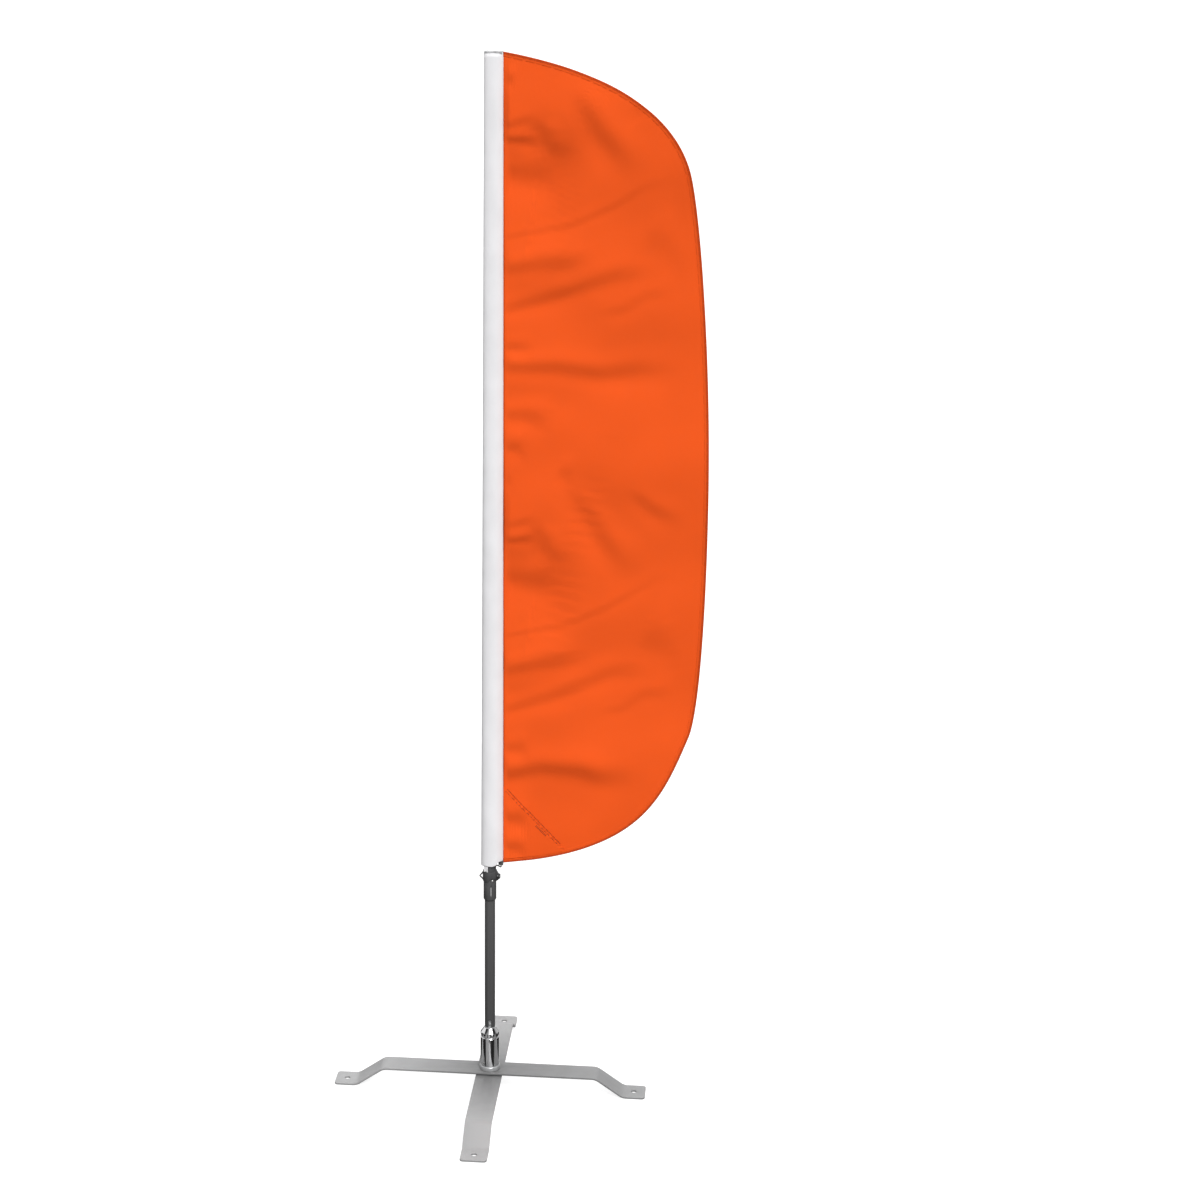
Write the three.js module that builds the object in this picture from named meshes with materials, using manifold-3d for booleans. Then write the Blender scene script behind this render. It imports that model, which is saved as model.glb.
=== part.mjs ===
// Feather flag on a jointed mast, which turns in a bearing housing on a folding cross base.
// Millimetres, +Z up. The floor is z = 0, the flag lies in the XZ plane towards +X of the mast,
// the upper bar of the base runs along X and the lower bar along Y. Profiles below are drawn
// about the mast axis, and the last group moves that axis so that the origin is under the middle.
import * as THREE from "three";
import { mergeVertices } from "three/addons/utils/BufferGeometryUtils.js";
import Module from "manifold-3d";

const wasm = await Module();
wasm.setup();

// ---- driving dimensions: clearances and stock ----
const gap = 0.3; // between pieces that touch
const round = 24; // facets of a visible round piece
const roundInner = 16; // facets of a piece hidden inside

// cross base
const barWidth = 63.5;
const barThickness = 5;
const barReach = 380; // mast axis to the tip of a foot
const footLength = 54; // flat part of a foot
const slopeRun = 66; // plan length of the slope between foot and arm
const armHeight = 51; // floor to the top face of the upper bar
const bendRadius = 30;
const footCorner = 8; // corner radius of a foot in plan
const pegHole = 13; // diameter
const pegHoleInset = 28; // tip of the foot to the centre of its peg hole
const boltDiameter = 12;
const boltHole = 13;
const boltHeadFlats = 19;
const boltHeadHeight = 7.5;
const pivotWasherDiameter = 40;
const pivotWasherThickness = 1.5;
const lockWasherDiameter = 21;
const lockWasherThickness = 2.5;
const lockWasherSplit = 2;

// rotator
const flangeLip = 1.8; // flange beyond the housing
const flangeHeight = 10.5;
const flangeTaper = 1.5;
const housingWall = 4.9;
const housingHeight = 75;
const housingFloor = 20; // solid metal below the bearings, which the bolt screws into
const housingChamfer = 1.2;
const bearingOuter = 35;
const bearingBore = 15;
const bearingWidth = 11;
const ballDiameter = 5.8;
const ballCount = 8;
const raceRoom = 1.9; // half the gap between the two races
const bearingSpread = 22; // between the two bearings
const clipThickness = 1.5;
const clipGrip = 1.2; // how deep a retaining clip sits in its groove
const capLip = 0.3; // rim of the cap beyond the housing
const capHeight = 24;
const capSkirt = 5; // fluted rim of the cap
const capSpigotGap = 3; // retaining clip to the end of the cap's spigot
const capFlutes = 12;
const capFluteRadius = 5;
const sealWidth = 3.2;
const sealHeight = 5;
const grubDiameter = 6;
const grubHeight = 8; // above the bottom of the housing
const grubBearing = -37; // degrees from the front, positive towards +X
const spindleShoulder = 3;
const spindleStubLength = 90;
const oRingSection = 2.4;
const oRingProud = 0.1; // past the spindle's stub
const drivePinDiameter = 6;
const drivePinHeight = 9; // above the foot of the pole

// mast
const lowerPoleDiameter = 25;
const lowerPoleWall = 2.2;
const lowerPoleLength = 413.3;
const notchWidth = 8.5;
const notchHeight = 19;
const notchBearing = 4;
const bushWall = 1;
const bushLength = 60;
const linerWall = 0.8;
const linerLength = 68;
const socketWall = 1.4;
const socketLength = 92; // foot of the skirt to the top of the neck
const socketSkirt = 49; // full diameter below the collar
const socketChamfer = 3;
const socketSlotWidth = 4.3;
const socketSlotLength = 37;
const socketSlotBearing = 17;
const neckWall = 0.9;
const buttonDiameter = 7.5;
const buttonProud = 2.2; // past the socket wall
const buttonBearing = 30;
const buttonHeight = 52; // above the foot of the socket
const springStrip = 10;
const springThickness = 0.8;
const springLength = 58;
const middlePoleRoom = 0.8; // round the middle pole in the lower pole
const middlePoleWall = 2;
const middlePoleLength = 880;
const middlePoleInsert = 100; // inside the lower pole
const poleFerruleWall = 1.1;
const poleFerruleLength = 60;
const topPoleTip = 8;
const topPoleInsert = 60;
const tipCapWall = 1.5;
const tipCapLength = 28;

// collar with two eyes
const collarWall = 1.7;
const collarHeight = 25;
const collarEarThickness = 5;
const collarArch = 11; // radius of the arch over the button
const leftEar = 8.7; // collar to the tip of the ear
const rightEar = 8.2;
const rightEyeRadius = 2.6;
const eyeWall = 2.2;
const leftEyeHalf = 6.4; // half the height of the left eye at the collar

// flag
const flagHeight = 1908; // panel along the sleeve
const flagReach = 500; // mast axis to the free edge
const sleeveWidthTop = 42; // fold to seam
const sleeveWidthBottom = 52.4;
const sleeveFoldRoomTop = 9; // tip of the top pole to the fold
const sleeveFoldRoomBottom = 6.2; // neck of the socket to the fold
const sleeveDepthTop = 17;
const sleeveRoom = 3.2; // in front of the neck and behind it
const sleeveWall = 1.2;
const sleeveDrop = 6; // sleeve below the panel
const sleeveOverNeck = 2; // sleeve over the top of the socket
const panelThickness = 2;
const hemWidth = 11;
const hemThickness = 2.6;
const patchThickness = 0.8;
const patchAlongSeam = 190;
const patchAlongEdge = 142;
const tabWidth = 11.5;
const tabHeight = 11;
const tabThickness = 3.4;
const tailWidth = 10.5;
const tailInset = 13.4; // mast axis to the left side of the tail
const tailThickness = 1.4;
const tapeHeight = 9;
const tapeThickness = 1.2;
const cordDiameter = 3;
const knotDiameter = 7;

// ---- sizes worked out from those above ----
const upperBarZ = armHeight - barThickness / 2;
const upperBarUnder = armHeight - barThickness;
const lowerBarTop = upperBarUnder - 2 * gap - pivotWasherThickness;
const lowerBarZ = lowerBarTop - barThickness / 2;
const lowerBarUnder = lowerBarTop - barThickness;
const lockWasherTop = lowerBarUnder - gap;
const boltHeadTop = lockWasherTop - lockWasherThickness - gap;

const flangeFoot = armHeight + gap;
const housingFoot = flangeFoot + flangeHeight + gap;
const housingTop = housingFoot + housingHeight;
const bearingFloor = housingFoot + housingFloor;
const bearingRadius = bearingOuter / 2;
const boreRadius = bearingRadius + gap;
const housingRadius = boreRadius + housingWall;
const journalRadius = bearingBore / 2 - gap;
const lowerBearingFoot = bearingFloor + 2 * gap + clipThickness + 1.5;
const upperBearingFoot = lowerBearingFoot + bearingWidth + bearingSpread;
const upperBearingTop = upperBearingFoot + bearingWidth;
const boltTop = bearingFloor - 1;
const boltRadius = boltDiameter / 2;

const capFoot = housingTop + gap;
const capTop = capFoot + capHeight;
const capRadius = housingRadius + capLip;
const shoulderFoot = capTop - 1;
const poleFoot = shoulderFoot + spindleShoulder + gap;
const stubTop = poleFoot + spindleStubLength;

const lowerPoleRadius = lowerPoleDiameter / 2;
const lowerPoleBore = lowerPoleRadius - lowerPoleWall;
const stubRadius = lowerPoleBore - bushWall - 2 * gap;
const lowerPoleTop = poleFoot + lowerPoleLength;
const linerBore = lowerPoleRadius + gap;
const linerRadius = linerBore + linerWall;
const socketBore = linerRadius + gap;
const socketRadius = socketBore + socketWall;
const neckRadius = socketBore + neckWall;
const socketTop = lowerPoleTop + 12;
const socketFoot = socketTop - socketLength;
const neckFoot = socketFoot + socketSkirt;
const buttonZ = socketFoot + buttonHeight;
const buttonRadius = buttonDiameter / 2;
const middlePoleRadius = lowerPoleBore - middlePoleRoom;
const middlePoleBore = middlePoleRadius - middlePoleWall;
const middlePoleFoot = lowerPoleTop - middlePoleInsert;
const middlePoleTop = middlePoleFoot + middlePoleLength;
const topPoleFootZ = middlePoleTop - topPoleInsert;
const sleeveFoot = socketTop - sleeveOverNeck;
const sleeveEdgeBottom = -(neckRadius + sleeveFoldRoomBottom); // mast axis to the fold
const sleeveEdgeTop = -(topPoleTip / 2 + sleeveFoldRoomTop);
const sleeveDepthBottom = 2 * (neckRadius + sleeveRoom);
const seamBottom = sleeveEdgeBottom + sleeveWidthBottom; // mast axis to the seam
const seamTop = sleeveEdgeTop + sleeveWidthTop;
const panelFoot = sleeveFoot + sleeveDrop;
const flagTop = panelFoot + flagHeight;
const sleeveInnerTop = flagTop - sleeveWall;
const tipCapTop = sleeveInnerTop - 6;
const topPoleTop = tipCapTop - tipCapWall - gap;

const collarFoot = neckFoot + 2 * gap;
const collarTop = collarFoot + collarHeight;
const collarBore = neckRadius + gap;
const collarRadius = collarBore + collarWall;
const leftEyeReach = collarRadius + leftEar;
const rightEyeReach = collarRadius + rightEar;
const eyeZ = collarFoot + 10.5;
const archZ = buttonZ - 4.5;

const seamGap = 0.6; // sleeve seam to the raw edge of the panel
const mastX = -(flagReach + seamGap - barReach) / 2;

// ---- helpers ----
function closed(geometry) {
  const source = geometry.clone();
  source.deleteAttribute("normal");
  source.deleteAttribute("uv");
  const merged = mergeVertices(source, 1e-4);
  const place = merged.getAttribute("position").array;
  const corners = merged.index.array;
  const kept = [];
  let volume = 0;
  for (let i = 0; i < corners.length; i += 3) {
    const [a, b, c] = [corners[i], corners[i + 1], corners[i + 2]];
    if (a === b || b === c || a === c) continue;
    kept.push(a, b, c);
    const [ax, ay, az] = place.slice(3 * a, 3 * a + 3);
    const [bx, by, bz] = place.slice(3 * b, 3 * b + 3);
    const [cx, cy, cz] = place.slice(3 * c, 3 * c + 3);
    volume += ax * (by * cz - bz * cy) + ay * (bz * cx - bx * cz) + az * (bx * cy - by * cx);
  }
  if (volume < 0) kept.reverse();
  merged.setIndex(kept);
  return merged;
}

function solid(geometry) {
  const merged = closed(geometry);
  const mesh = new wasm.Mesh({
    numProp: 3,
    vertProperties: new Float32Array(merged.getAttribute("position").array),
    triVerts: new Uint32Array(merged.index.array),
  });
  return new wasm.Manifold(mesh);
}

function geometryOf(manifold) {
  const mesh = manifold.getMesh();
  const geometry = new THREE.BufferGeometry();
  geometry.setAttribute("position", new THREE.BufferAttribute(mesh.vertProperties, 3));
  geometry.setIndex(new THREE.BufferAttribute(mesh.triVerts, 1));
  const flat = geometry.toNonIndexed();
  flat.computeVertexNormals();
  return flat;
}

function cut(geometry, ...tools) {
  return geometryOf(tools.reduce((left, tool) => left.subtract(solid(tool)), solid(geometry)));
}

function join(geometry, ...others) {
  return geometryOf(others.reduce((sum, other) => sum.add(solid(other)), solid(geometry)));
}

function common(geometry, other) {
  return geometryOf(solid(geometry).intersect(solid(other)));
}

// A profile of [radius, height] pairs turned about Z.
function turned(profile, facets = round) {
  const points = profile.map(([radius, height]) => new THREE.Vector2(radius, height));
  return closed(new THREE.LatheGeometry(points, facets).rotateX(Math.PI / 2));
}

function tube(inner, outer, foot, top, facets = round) {
  return turned([[inner, foot], [outer, foot], [outer, top], [inner, top], [inner, foot]], facets);
}

function rod(radius, foot, top, facets = round) {
  return turned([[0, foot], [radius, foot], [radius, top], [0, top]], facets);
}

// Moves a geometry drawn along Z so that its Z axis points out from the mast, bearing degrees from -Y.
function radial(geometry, height, bearing) {
  const turn = THREE.MathUtils.degToRad(bearing);
  return geometry.rotateX(Math.PI / 2).rotateZ(turn).translate(0, 0, height);
}

function box(x0, x1, y0, y1, z0, z1) {
  const size = new THREE.BoxGeometry(x1 - x0, y1 - y0, z1 - z0);
  return size.translate((x0 + x1) / 2, (y0 + y1) / 2, (z0 + z1) / 2);
}

// A shape drawn in [x, z], extruded along Y between two depths.
function slab(points, y0, y1, holes = []) {
  const shape = new THREE.Shape(points.map(([x, z]) => new THREE.Vector2(x, z)));
  holes.forEach((hole) => shape.holes.push(hole));
  const settings = { depth: y1 - y0, bevelEnabled: false, curveSegments: round };
  return new THREE.ExtrudeGeometry(shape, settings).rotateX(Math.PI / 2).translate(0, y1, 0);
}

// Corners of a sheet's middle line, each rounded by an arc.
function roundedPath(corners, radius, steps = 5) {
  const path = [corners[0]];
  for (let i = 1; i < corners.length - 1; i++) {
    const here = new THREE.Vector2(...corners[i]);
    const before = new THREE.Vector2(...corners[i - 1]).sub(here).normalize();
    const after = new THREE.Vector2(...corners[i + 1]).sub(here).normalize();
    const half = before.angleTo(after) / 2;
    const centre = here.clone().add(before.clone().add(after).setLength(radius / Math.sin(half)));
    const start = here.clone().addScaledVector(before, radius / Math.tan(half)).sub(centre);
    const side = Math.sign(before.cross(after));
    const sweep = side * (Math.PI - 2 * half);
    for (let k = 0; k <= steps; k++) {
      const point = start.clone().rotateAround(new THREE.Vector2(), (-sweep * k) / steps).add(centre);
      path.push([point.x, point.y]);
    }
  }
  path.push(corners[corners.length - 1]);
  return path;
}

// Outline of a sheet of even thickness about its middle line.
function stripOutline(path, thickness) {
  const sides = [[], []];
  path.forEach((point, i) => {
    const before = path[Math.max(i - 1, 0)];
    const after = path[Math.min(i + 1, path.length - 1)];
    const along = new THREE.Vector2(after[0] - before[0], after[1] - before[1]).normalize();
    sides[0].push([point[0] - (along.y * thickness) / 2, point[1] + (along.x * thickness) / 2]);
    sides[1].unshift([point[0] + (along.y * thickness) / 2, point[1] - (along.x * thickness) / 2]);
  });
  return [...sides[0], ...sides[1]];
}

function hexagon(flats, foot, top) {
  const corners = flats / Math.sqrt(3);
  return turned([[0, foot], [corners, foot], [corners, top], [0, top]], 6);
}

const group = new THREE.Group();
const mast = new THREE.Group();
mast.position.x = mastX;
group.add(mast);

function piece(name, geometry, material) {
  const mesh = new THREE.Mesh(geometry, new THREE.MeshStandardMaterial(material));
  mesh.name = name;
  mast.add(mesh);
  return mesh;
}

const silverPaint = { color: 0xa8a9aa, roughness: 0.45, metalness: 0.6 };
const zincSteel = { color: 0xb4b6b8, roughness: 0.35, metalness: 0.9 };
const chrome = { color: 0xe6e6e8, roughness: 0.06, metalness: 1 };
const bearingSteel = { color: 0xc4c6c8, roughness: 0.2, metalness: 1 };
const brass = { color: 0xc8a254, roughness: 0.4, metalness: 1 };
const blackRubber = { color: 0x1c1c1e, roughness: 0.8, metalness: 0 };
const poleCoat = { color: 0x505050, roughness: 0.55, metalness: 0.2 };
const blackNylon = { color: 0x3a3a3b, roughness: 0.5, metalness: 0 };
const aluminium = { color: 0xb8babc, roughness: 0.35, metalness: 0.9 };
const fibreglass = { color: 0xd8d8d0, roughness: 0.5, metalness: 0 };
const whiteCloth = { color: 0xe8e8ea, roughness: 0.9, metalness: 0 };
const orangeCloth = { color: 0xee5a24, roughness: 0.85, metalness: 0 };
const greyWebbing = { color: 0x6e6e6c, roughness: 0.9, metalness: 0 };

// ---- cross base ----
function crossBar(middle) {
  const footZ = barThickness / 2;
  const footStart = barReach - footLength;
  const armEnd = footStart - slopeRun;
  const corners = [
    [-barReach, footZ],
    [-footStart, footZ],
    [-armEnd, middle],
    [armEnd, middle],
    [footStart, footZ],
    [barReach, footZ],
  ];
  const side = stripOutline(roundedPath(corners, bendRadius), barThickness);
  const half = barWidth / 2;
  const bent = slab(side, -half, half);
  const plan = new THREE.Shape();
  const inX = barReach - footCorner;
  const inY = half - footCorner;
  plan.absarc(inX, inY, footCorner, 0, Math.PI / 2);
  plan.absarc(-inX, inY, footCorner, Math.PI / 2, Math.PI);
  plan.absarc(-inX, -inY, footCorner, Math.PI, 1.5 * Math.PI);
  plan.absarc(inX, -inY, footCorner, 1.5 * Math.PI, 2 * Math.PI);
  const settings = { depth: armHeight + 2, bevelEnabled: false, curveSegments: 5 };
  const trim = new THREE.ExtrudeGeometry(plan, settings).translate(0, 0, -1);
  const holes = [-1, 1].map((side) => {
    const hole = rod(pegHole / 2, -1, barThickness + 1, roundInner);
    return hole.translate(side * (barReach - pegHoleInset), 0, 0);
  });
  return cut(common(bent, trim), rod(boltHole / 2, 0, armHeight + 2, roundInner), ...holes);
}

piece("upper_bar", crossBar(upperBarZ), silverPaint);
piece("lower_bar", crossBar(lowerBarZ), silverPaint).rotation.z = Math.PI / 2;

const washerFoot = lowerBarTop + gap;
const washerTop = washerFoot + pivotWasherThickness;
piece("pivot_washer", tube(boltHole / 2, pivotWasherDiameter / 2, washerFoot, washerTop), zincSteel);

function centreBolt() {
  const shank = rod(boltRadius, boltHeadTop - 1, boltTop, roundInner);
  return join(hexagon(boltHeadFlats, boltHeadTop - boltHeadHeight, boltHeadTop), shank);
}
piece("centre_bolt", centreBolt(), zincSteel);

function boltLockWasher() {
  const foot = lockWasherTop - lockWasherThickness;
  const ring = tube(boltRadius + gap, lockWasherDiameter / 2, foot, lockWasherTop, roundInner);
  const split = lockWasherSplit / 2;
  return cut(ring, box(0, lockWasherDiameter, -split, split, foot - 1, lockWasherTop + 1));
}
piece("bolt_lock_washer", boltLockWasher(), zincSteel);

// ---- rotator ----
const boltClear = boltRadius + gap;

function rotatorFlange() {
  const radius = housingRadius + flangeLip;
  const top = flangeFoot + flangeHeight;
  const rim = top - flangeTaper;
  const outline = [
    [boltClear, flangeFoot],
    [radius, flangeFoot],
    [radius, rim],
    [radius - flangeTaper, top],
    [boltClear, top],
    [boltClear, flangeFoot],
  ];
  return turned(outline);
}
piece("rotator_flange", rotatorFlange(), zincSteel);

const clipFoot = upperBearingTop + gap;
const clipTop = clipFoot + clipThickness;

function rotatorHousing() {
  const inset = housingRadius - housingChamfer;
  const grooveRadius = boreRadius + clipGrip + gap;
  const outline = [
    [boltClear, housingFoot],
    [inset, housingFoot],
    [housingRadius, housingFoot + housingChamfer],
    [housingRadius, housingTop - housingChamfer],
    [inset, housingTop],
    [boreRadius, housingTop],
    [boreRadius, clipTop + gap],
    [grooveRadius, clipTop + gap],
    [grooveRadius, clipFoot - gap],
    [boreRadius, clipFoot - gap],
    [boreRadius, bearingFloor],
    [boltClear, bearingFloor],
    [boltClear, housingFoot],
  ];
  const hole = rod(grubDiameter / 2 + gap, boltRadius, housingRadius + 1, roundInner);
  return cut(turned(outline), radial(hole, housingFoot + grubHeight, grubBearing));
}
piece("rotator_housing", rotatorHousing(), chrome);

function housingGrubScrew() {
  const end = housingRadius + 1;
  const screw = rod(grubDiameter / 2, boltRadius + gap, end, roundInner);
  const drive = hexagon(grubDiameter / 2, end - 3, end + 1);
  return radial(cut(screw, drive), housingFoot + grubHeight, grubBearing);
}
piece("housing_grub_screw", housingGrubScrew(), bearingSteel);

// The raceway's arc, seen from the ball's centre at [pitch, middle].
function raceway(pitch, middle, from, to) {
  const radius = ballDiameter / 2 + gap;
  const steps = 4;
  return Array.from({ length: steps + 1 }, (_, i) => {
    const angle = from + ((to - from) * i) / steps;
    return [pitch + radius * Math.cos(angle), middle + radius * Math.sin(angle)];
  });
}

function bearing(name, foot) {
  const pitch = (bearingRadius + bearingBore / 2) / 2;
  const middle = foot + bearingWidth / 2;
  const top = foot + bearingWidth;
  const reach = Math.acos(raceRoom / (ballDiameter / 2 + gap));
  const outerRace = [
    [pitch + raceRoom, foot],
    [bearingRadius, foot],
    [bearingRadius, top],
    [pitch + raceRoom, top],
    ...raceway(pitch, middle, reach, -reach),
    [pitch + raceRoom, foot],
  ];
  const innerRace = [
    [bearingBore / 2, foot],
    [pitch - raceRoom, foot],
    ...raceway(pitch, middle, Math.PI + reach, Math.PI - reach),
    [pitch - raceRoom, top],
    [bearingBore / 2, top],
    [bearingBore / 2, foot],
  ];
  piece(`${name}_outer_race`, turned(outerRace), bearingSteel);
  piece(`${name}_inner_race`, turned(innerRace, roundInner), bearingSteel);
  const cageHalf = 1.6;
  const cage = tube(pitch - 0.7, pitch + 0.7, middle - cageHalf, middle + cageHalf, roundInner);
  const balls = Array.from({ length: ballCount }, (_, i) => {
    const angle = (2 * Math.PI * (i + 0.5)) / ballCount;
    const ball = new THREE.SphereGeometry(ballDiameter / 2, 6, 5);
    return ball.translate(pitch * Math.cos(angle), pitch * Math.sin(angle), middle);
  });
  piece(`${name}_ball_cage`, join(cage, ...balls), brass);
}
bearing("lower_bearing", lowerBearingFoot);
bearing("upper_bearing", upperBearingFoot);

const spacerFoot = lowerBearingFoot + bearingWidth + gap;
const spacerTop = upperBearingFoot - gap;
const spacer = tube(journalRadius + gap, journalRadius + 2.2, spacerFoot, spacerTop, roundInner);
piece("bearing_spacer", spacer, aluminium);

const housingClip = tube(bearingRadius - 2, boreRadius + clipGrip, clipFoot, clipTop, roundInner);
const clipMouth = box(-4, 4, 0, 2 * housingRadius, clipFoot - 1, clipTop + 1);
piece("housing_clip", cut(housingClip, clipMouth), bearingSteel);

const spindleClipTop = lowerBearingFoot - gap;
const spindleClipFoot = spindleClipTop - clipThickness;
const spindleGroove = journalRadius - clipGrip - gap;

function spindleClip() {
  const inner = journalRadius - clipGrip;
  const ring = tube(inner, journalRadius + 2, spindleClipFoot, spindleClipTop, roundInner);
  return cut(ring, box(-3, 3, 0, bearingBore, spindleClipFoot - 1, spindleClipTop + 1));
}
piece("spindle_clip", spindleClip(), bearingSteel);

const collarAtRace = journalRadius + 2.2; // spindle's shoulder on the upper bearing
const shoulderRadius = lowerPoleRadius - 0.5;
const ringZ = stubTop - 14;
const ringMiddle = stubRadius + oRingProud - oRingSection / 2;

function spindle() {
  const foot = bearingFloor + gap;
  const ringHalf = oRingSection / 2 + gap;
  const ringFloor = ringMiddle - oRingSection / 2 - 0.1;
  const outline = [
    [0, foot],
    [journalRadius - 0.5, foot],
    [journalRadius, foot + 0.5],
    [journalRadius, spindleClipFoot - gap],
    [spindleGroove, spindleClipFoot - gap],
    [spindleGroove, spindleClipTop + gap],
    [journalRadius, spindleClipTop + gap],
    [journalRadius, clipFoot],
    [collarAtRace, clipFoot],
    [collarAtRace, shoulderFoot],
    [shoulderRadius, shoulderFoot],
    [shoulderRadius, shoulderFoot + spindleShoulder],
    [stubRadius, shoulderFoot + spindleShoulder],
    [stubRadius, ringZ - ringHalf],
    [ringFloor, ringZ - ringHalf],
    [ringFloor, ringZ + ringHalf],
    [stubRadius, ringZ + ringHalf],
    [stubRadius, stubTop - 4],
    [stubRadius - 2, stubTop],
    [0, stubTop],
  ];
  const pinHole = rod(drivePinDiameter / 2 + gap, stubRadius - 6, stubRadius + 5, roundInner);
  return cut(turned(outline), radial(pinHole, poleFoot + drivePinHeight, notchBearing));
}
piece("spindle", spindle(), zincSteel);

function spindleORing() {
  const radius = oRingSection / 2;
  const steps = 8;
  const outline = Array.from({ length: steps + 1 }, (_, i) => {
    const angle = (2 * Math.PI * i) / steps;
    return [ringMiddle + radius * Math.cos(angle), ringZ + radius * Math.sin(angle)];
  });
  return turned(outline);
}
piece("spindle_o_ring", spindleORing(), blackRubber);

function drivePin() {
  const end = lowerPoleRadius - 0.6;
  const pin = turned(
    [
      [0, stubRadius - 6 + gap],
      [drivePinDiameter / 2, stubRadius - 6 + gap],
      [drivePinDiameter / 2, end - 0.8],
      [drivePinDiameter / 2 - 0.8, end],
      [0, end],
    ],
    roundInner,
  );
  return radial(pin, poleFoot + drivePinHeight, notchBearing);
}
piece("drive_pin", drivePin(), zincSteel);

const sealBore = collarAtRace + gap;
const sealRadius = sealBore + sealWidth;
const sealFoot = capTop - 6 - sealHeight;
piece("dust_seal", tube(sealBore, sealRadius, sealFoot, sealFoot + sealHeight), blackRubber);

// Cap: a spigot in the housing bore, a fluted rim, and a cone up to the foot of the pole.
function bearingCap() {
  const shoulderRoom = shoulderRadius + gap;
  const mouth = capTop - 4;
  const skirtTop = capFoot + 8;
  const rimTop = skirtTop + capSkirt;
  const spigotRadius = boreRadius - gap;
  const outline = [
    [sealBore, clipTop + capSpigotGap],
    [spigotRadius, clipTop + capSpigotGap],
    [spigotRadius, capFoot],
    [capRadius - 2.4, capFoot],
    [capRadius - 0.6, skirtTop - 3],
    [capRadius, skirtTop],
    [capRadius - 0.2, rimTop - 1.5],
    [capRadius - 2, rimTop],
    [shoulderRoom + 2.2, capTop - 0.8],
    [shoulderRoom + 1.4, capTop],
    [shoulderRoom, capTop],
    [shoulderRoom, mouth],
    [sealBore, mouth],
    [sealBore, sealFoot + sealHeight + gap],
    [sealRadius + gap, sealFoot + sealHeight + gap],
    [sealRadius + gap, sealFoot - gap],
    [sealBore, sealFoot - gap],
    [sealBore, clipTop + capSpigotGap],
  ];
  const flutes = Array.from({ length: capFlutes }, (_, i) => {
    const angle = (2 * Math.PI * (i + 0.5)) / capFlutes;
    const out = capRadius + capFluteRadius - 1.1;
    const tool = rod(capFluteRadius, capFoot - 1, capTop + 1, 10);
    return tool.translate(out * Math.cos(angle), out * Math.sin(angle), 0);
  });
  return cut(turned(outline), ...flutes);
}
piece("bearing_cap", bearingCap(), chrome);

// ---- mast ----
function notch(inner, outer) {
  const half = notchWidth / 2;
  const block = box(-half, half, -outer - 1, -inner + 1, poleFoot - 1, poleFoot + notchHeight - half);
  const roundTop = rod(half, inner - 1, outer + 1, roundInner);
  radial(roundTop, poleFoot + notchHeight - half, 0);
  return join(block, roundTop).rotateZ(THREE.MathUtils.degToRad(notchBearing));
}

function buttonHole() {
  const hole = rod(buttonRadius + gap, middlePoleBore - 3, collarRadius + 3, roundInner);
  return radial(hole, buttonZ, buttonBearing);
}

function lowerPole() {
  const pole = tube(lowerPoleBore, lowerPoleRadius, poleFoot, lowerPoleTop);
  return cut(pole, notch(lowerPoleBore, lowerPoleRadius), buttonHole());
}
piece("lower_pole", lowerPole(), poleCoat);

function poleFootBush() {
  const outer = lowerPoleBore - gap;
  const bush = tube(outer - bushWall, outer, poleFoot, poleFoot + bushLength);
  return cut(bush, notch(outer - bushWall, outer));
}
piece("pole_foot_bush", poleFootBush(), blackNylon);

const linerTop = lowerPoleTop - 1;
const liner = tube(linerBore, linerRadius, linerTop - linerLength, linerTop);
piece("ferrule_liner", cut(liner, buttonHole()), aluminium);

function poleSocket() {
  const lip = lowerPoleRadius + gap;
  const poleSlip = middlePoleRadius + gap;
  const shelf = lowerPoleTop + gap;
  const linerFoot = linerTop - linerLength - gap;
  const outline = [
    [lip, socketFoot],
    [socketRadius - 2, socketFoot],
    [socketRadius, socketFoot + socketChamfer],
    [socketRadius, neckFoot],
    [neckRadius, neckFoot],
    [neckRadius, socketTop - 2],
    [neckRadius - 1.5, socketTop],
    [poleSlip, socketTop],
    [poleSlip, shelf],
    [socketBore, shelf],
    [socketBore, linerFoot],
    [lip, linerFoot],
    [lip, socketFoot],
  ];
  const half = socketSlotWidth / 2;
  const slotTop = socketFoot + socketSlotLength - half;
  const slot = join(
    box(-half, half, -socketRadius - 1, -socketBore + 1, linerFoot + 1, slotTop),
    radial(rod(half, socketBore - 1, socketRadius + 1, roundInner), slotTop, 0),
  ).rotateZ(THREE.MathUtils.degToRad(socketSlotBearing));
  return cut(turned(outline), slot, buttonHole());
}
piece("pole_socket", poleSocket(), blackNylon);

function snapButton() {
  const tip = socketRadius + buttonProud;
  const dome = 5;
  const crown = Array.from({ length: dome + 1 }, (_, i) => {
    const angle = (Math.PI / 2) * (i / dome);
    return [buttonRadius * Math.cos(angle), tip - 1.6 + 1.6 * Math.sin(angle)];
  });
  crown[dome][0] = 0;
  const outline = [[0, tip - 13.8], [buttonRadius, tip - 13.8], ...crown];
  return radial(turned(outline, roundInner), buttonZ, buttonBearing);
}
piece("snap_button", snapButton(), chrome);

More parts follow.
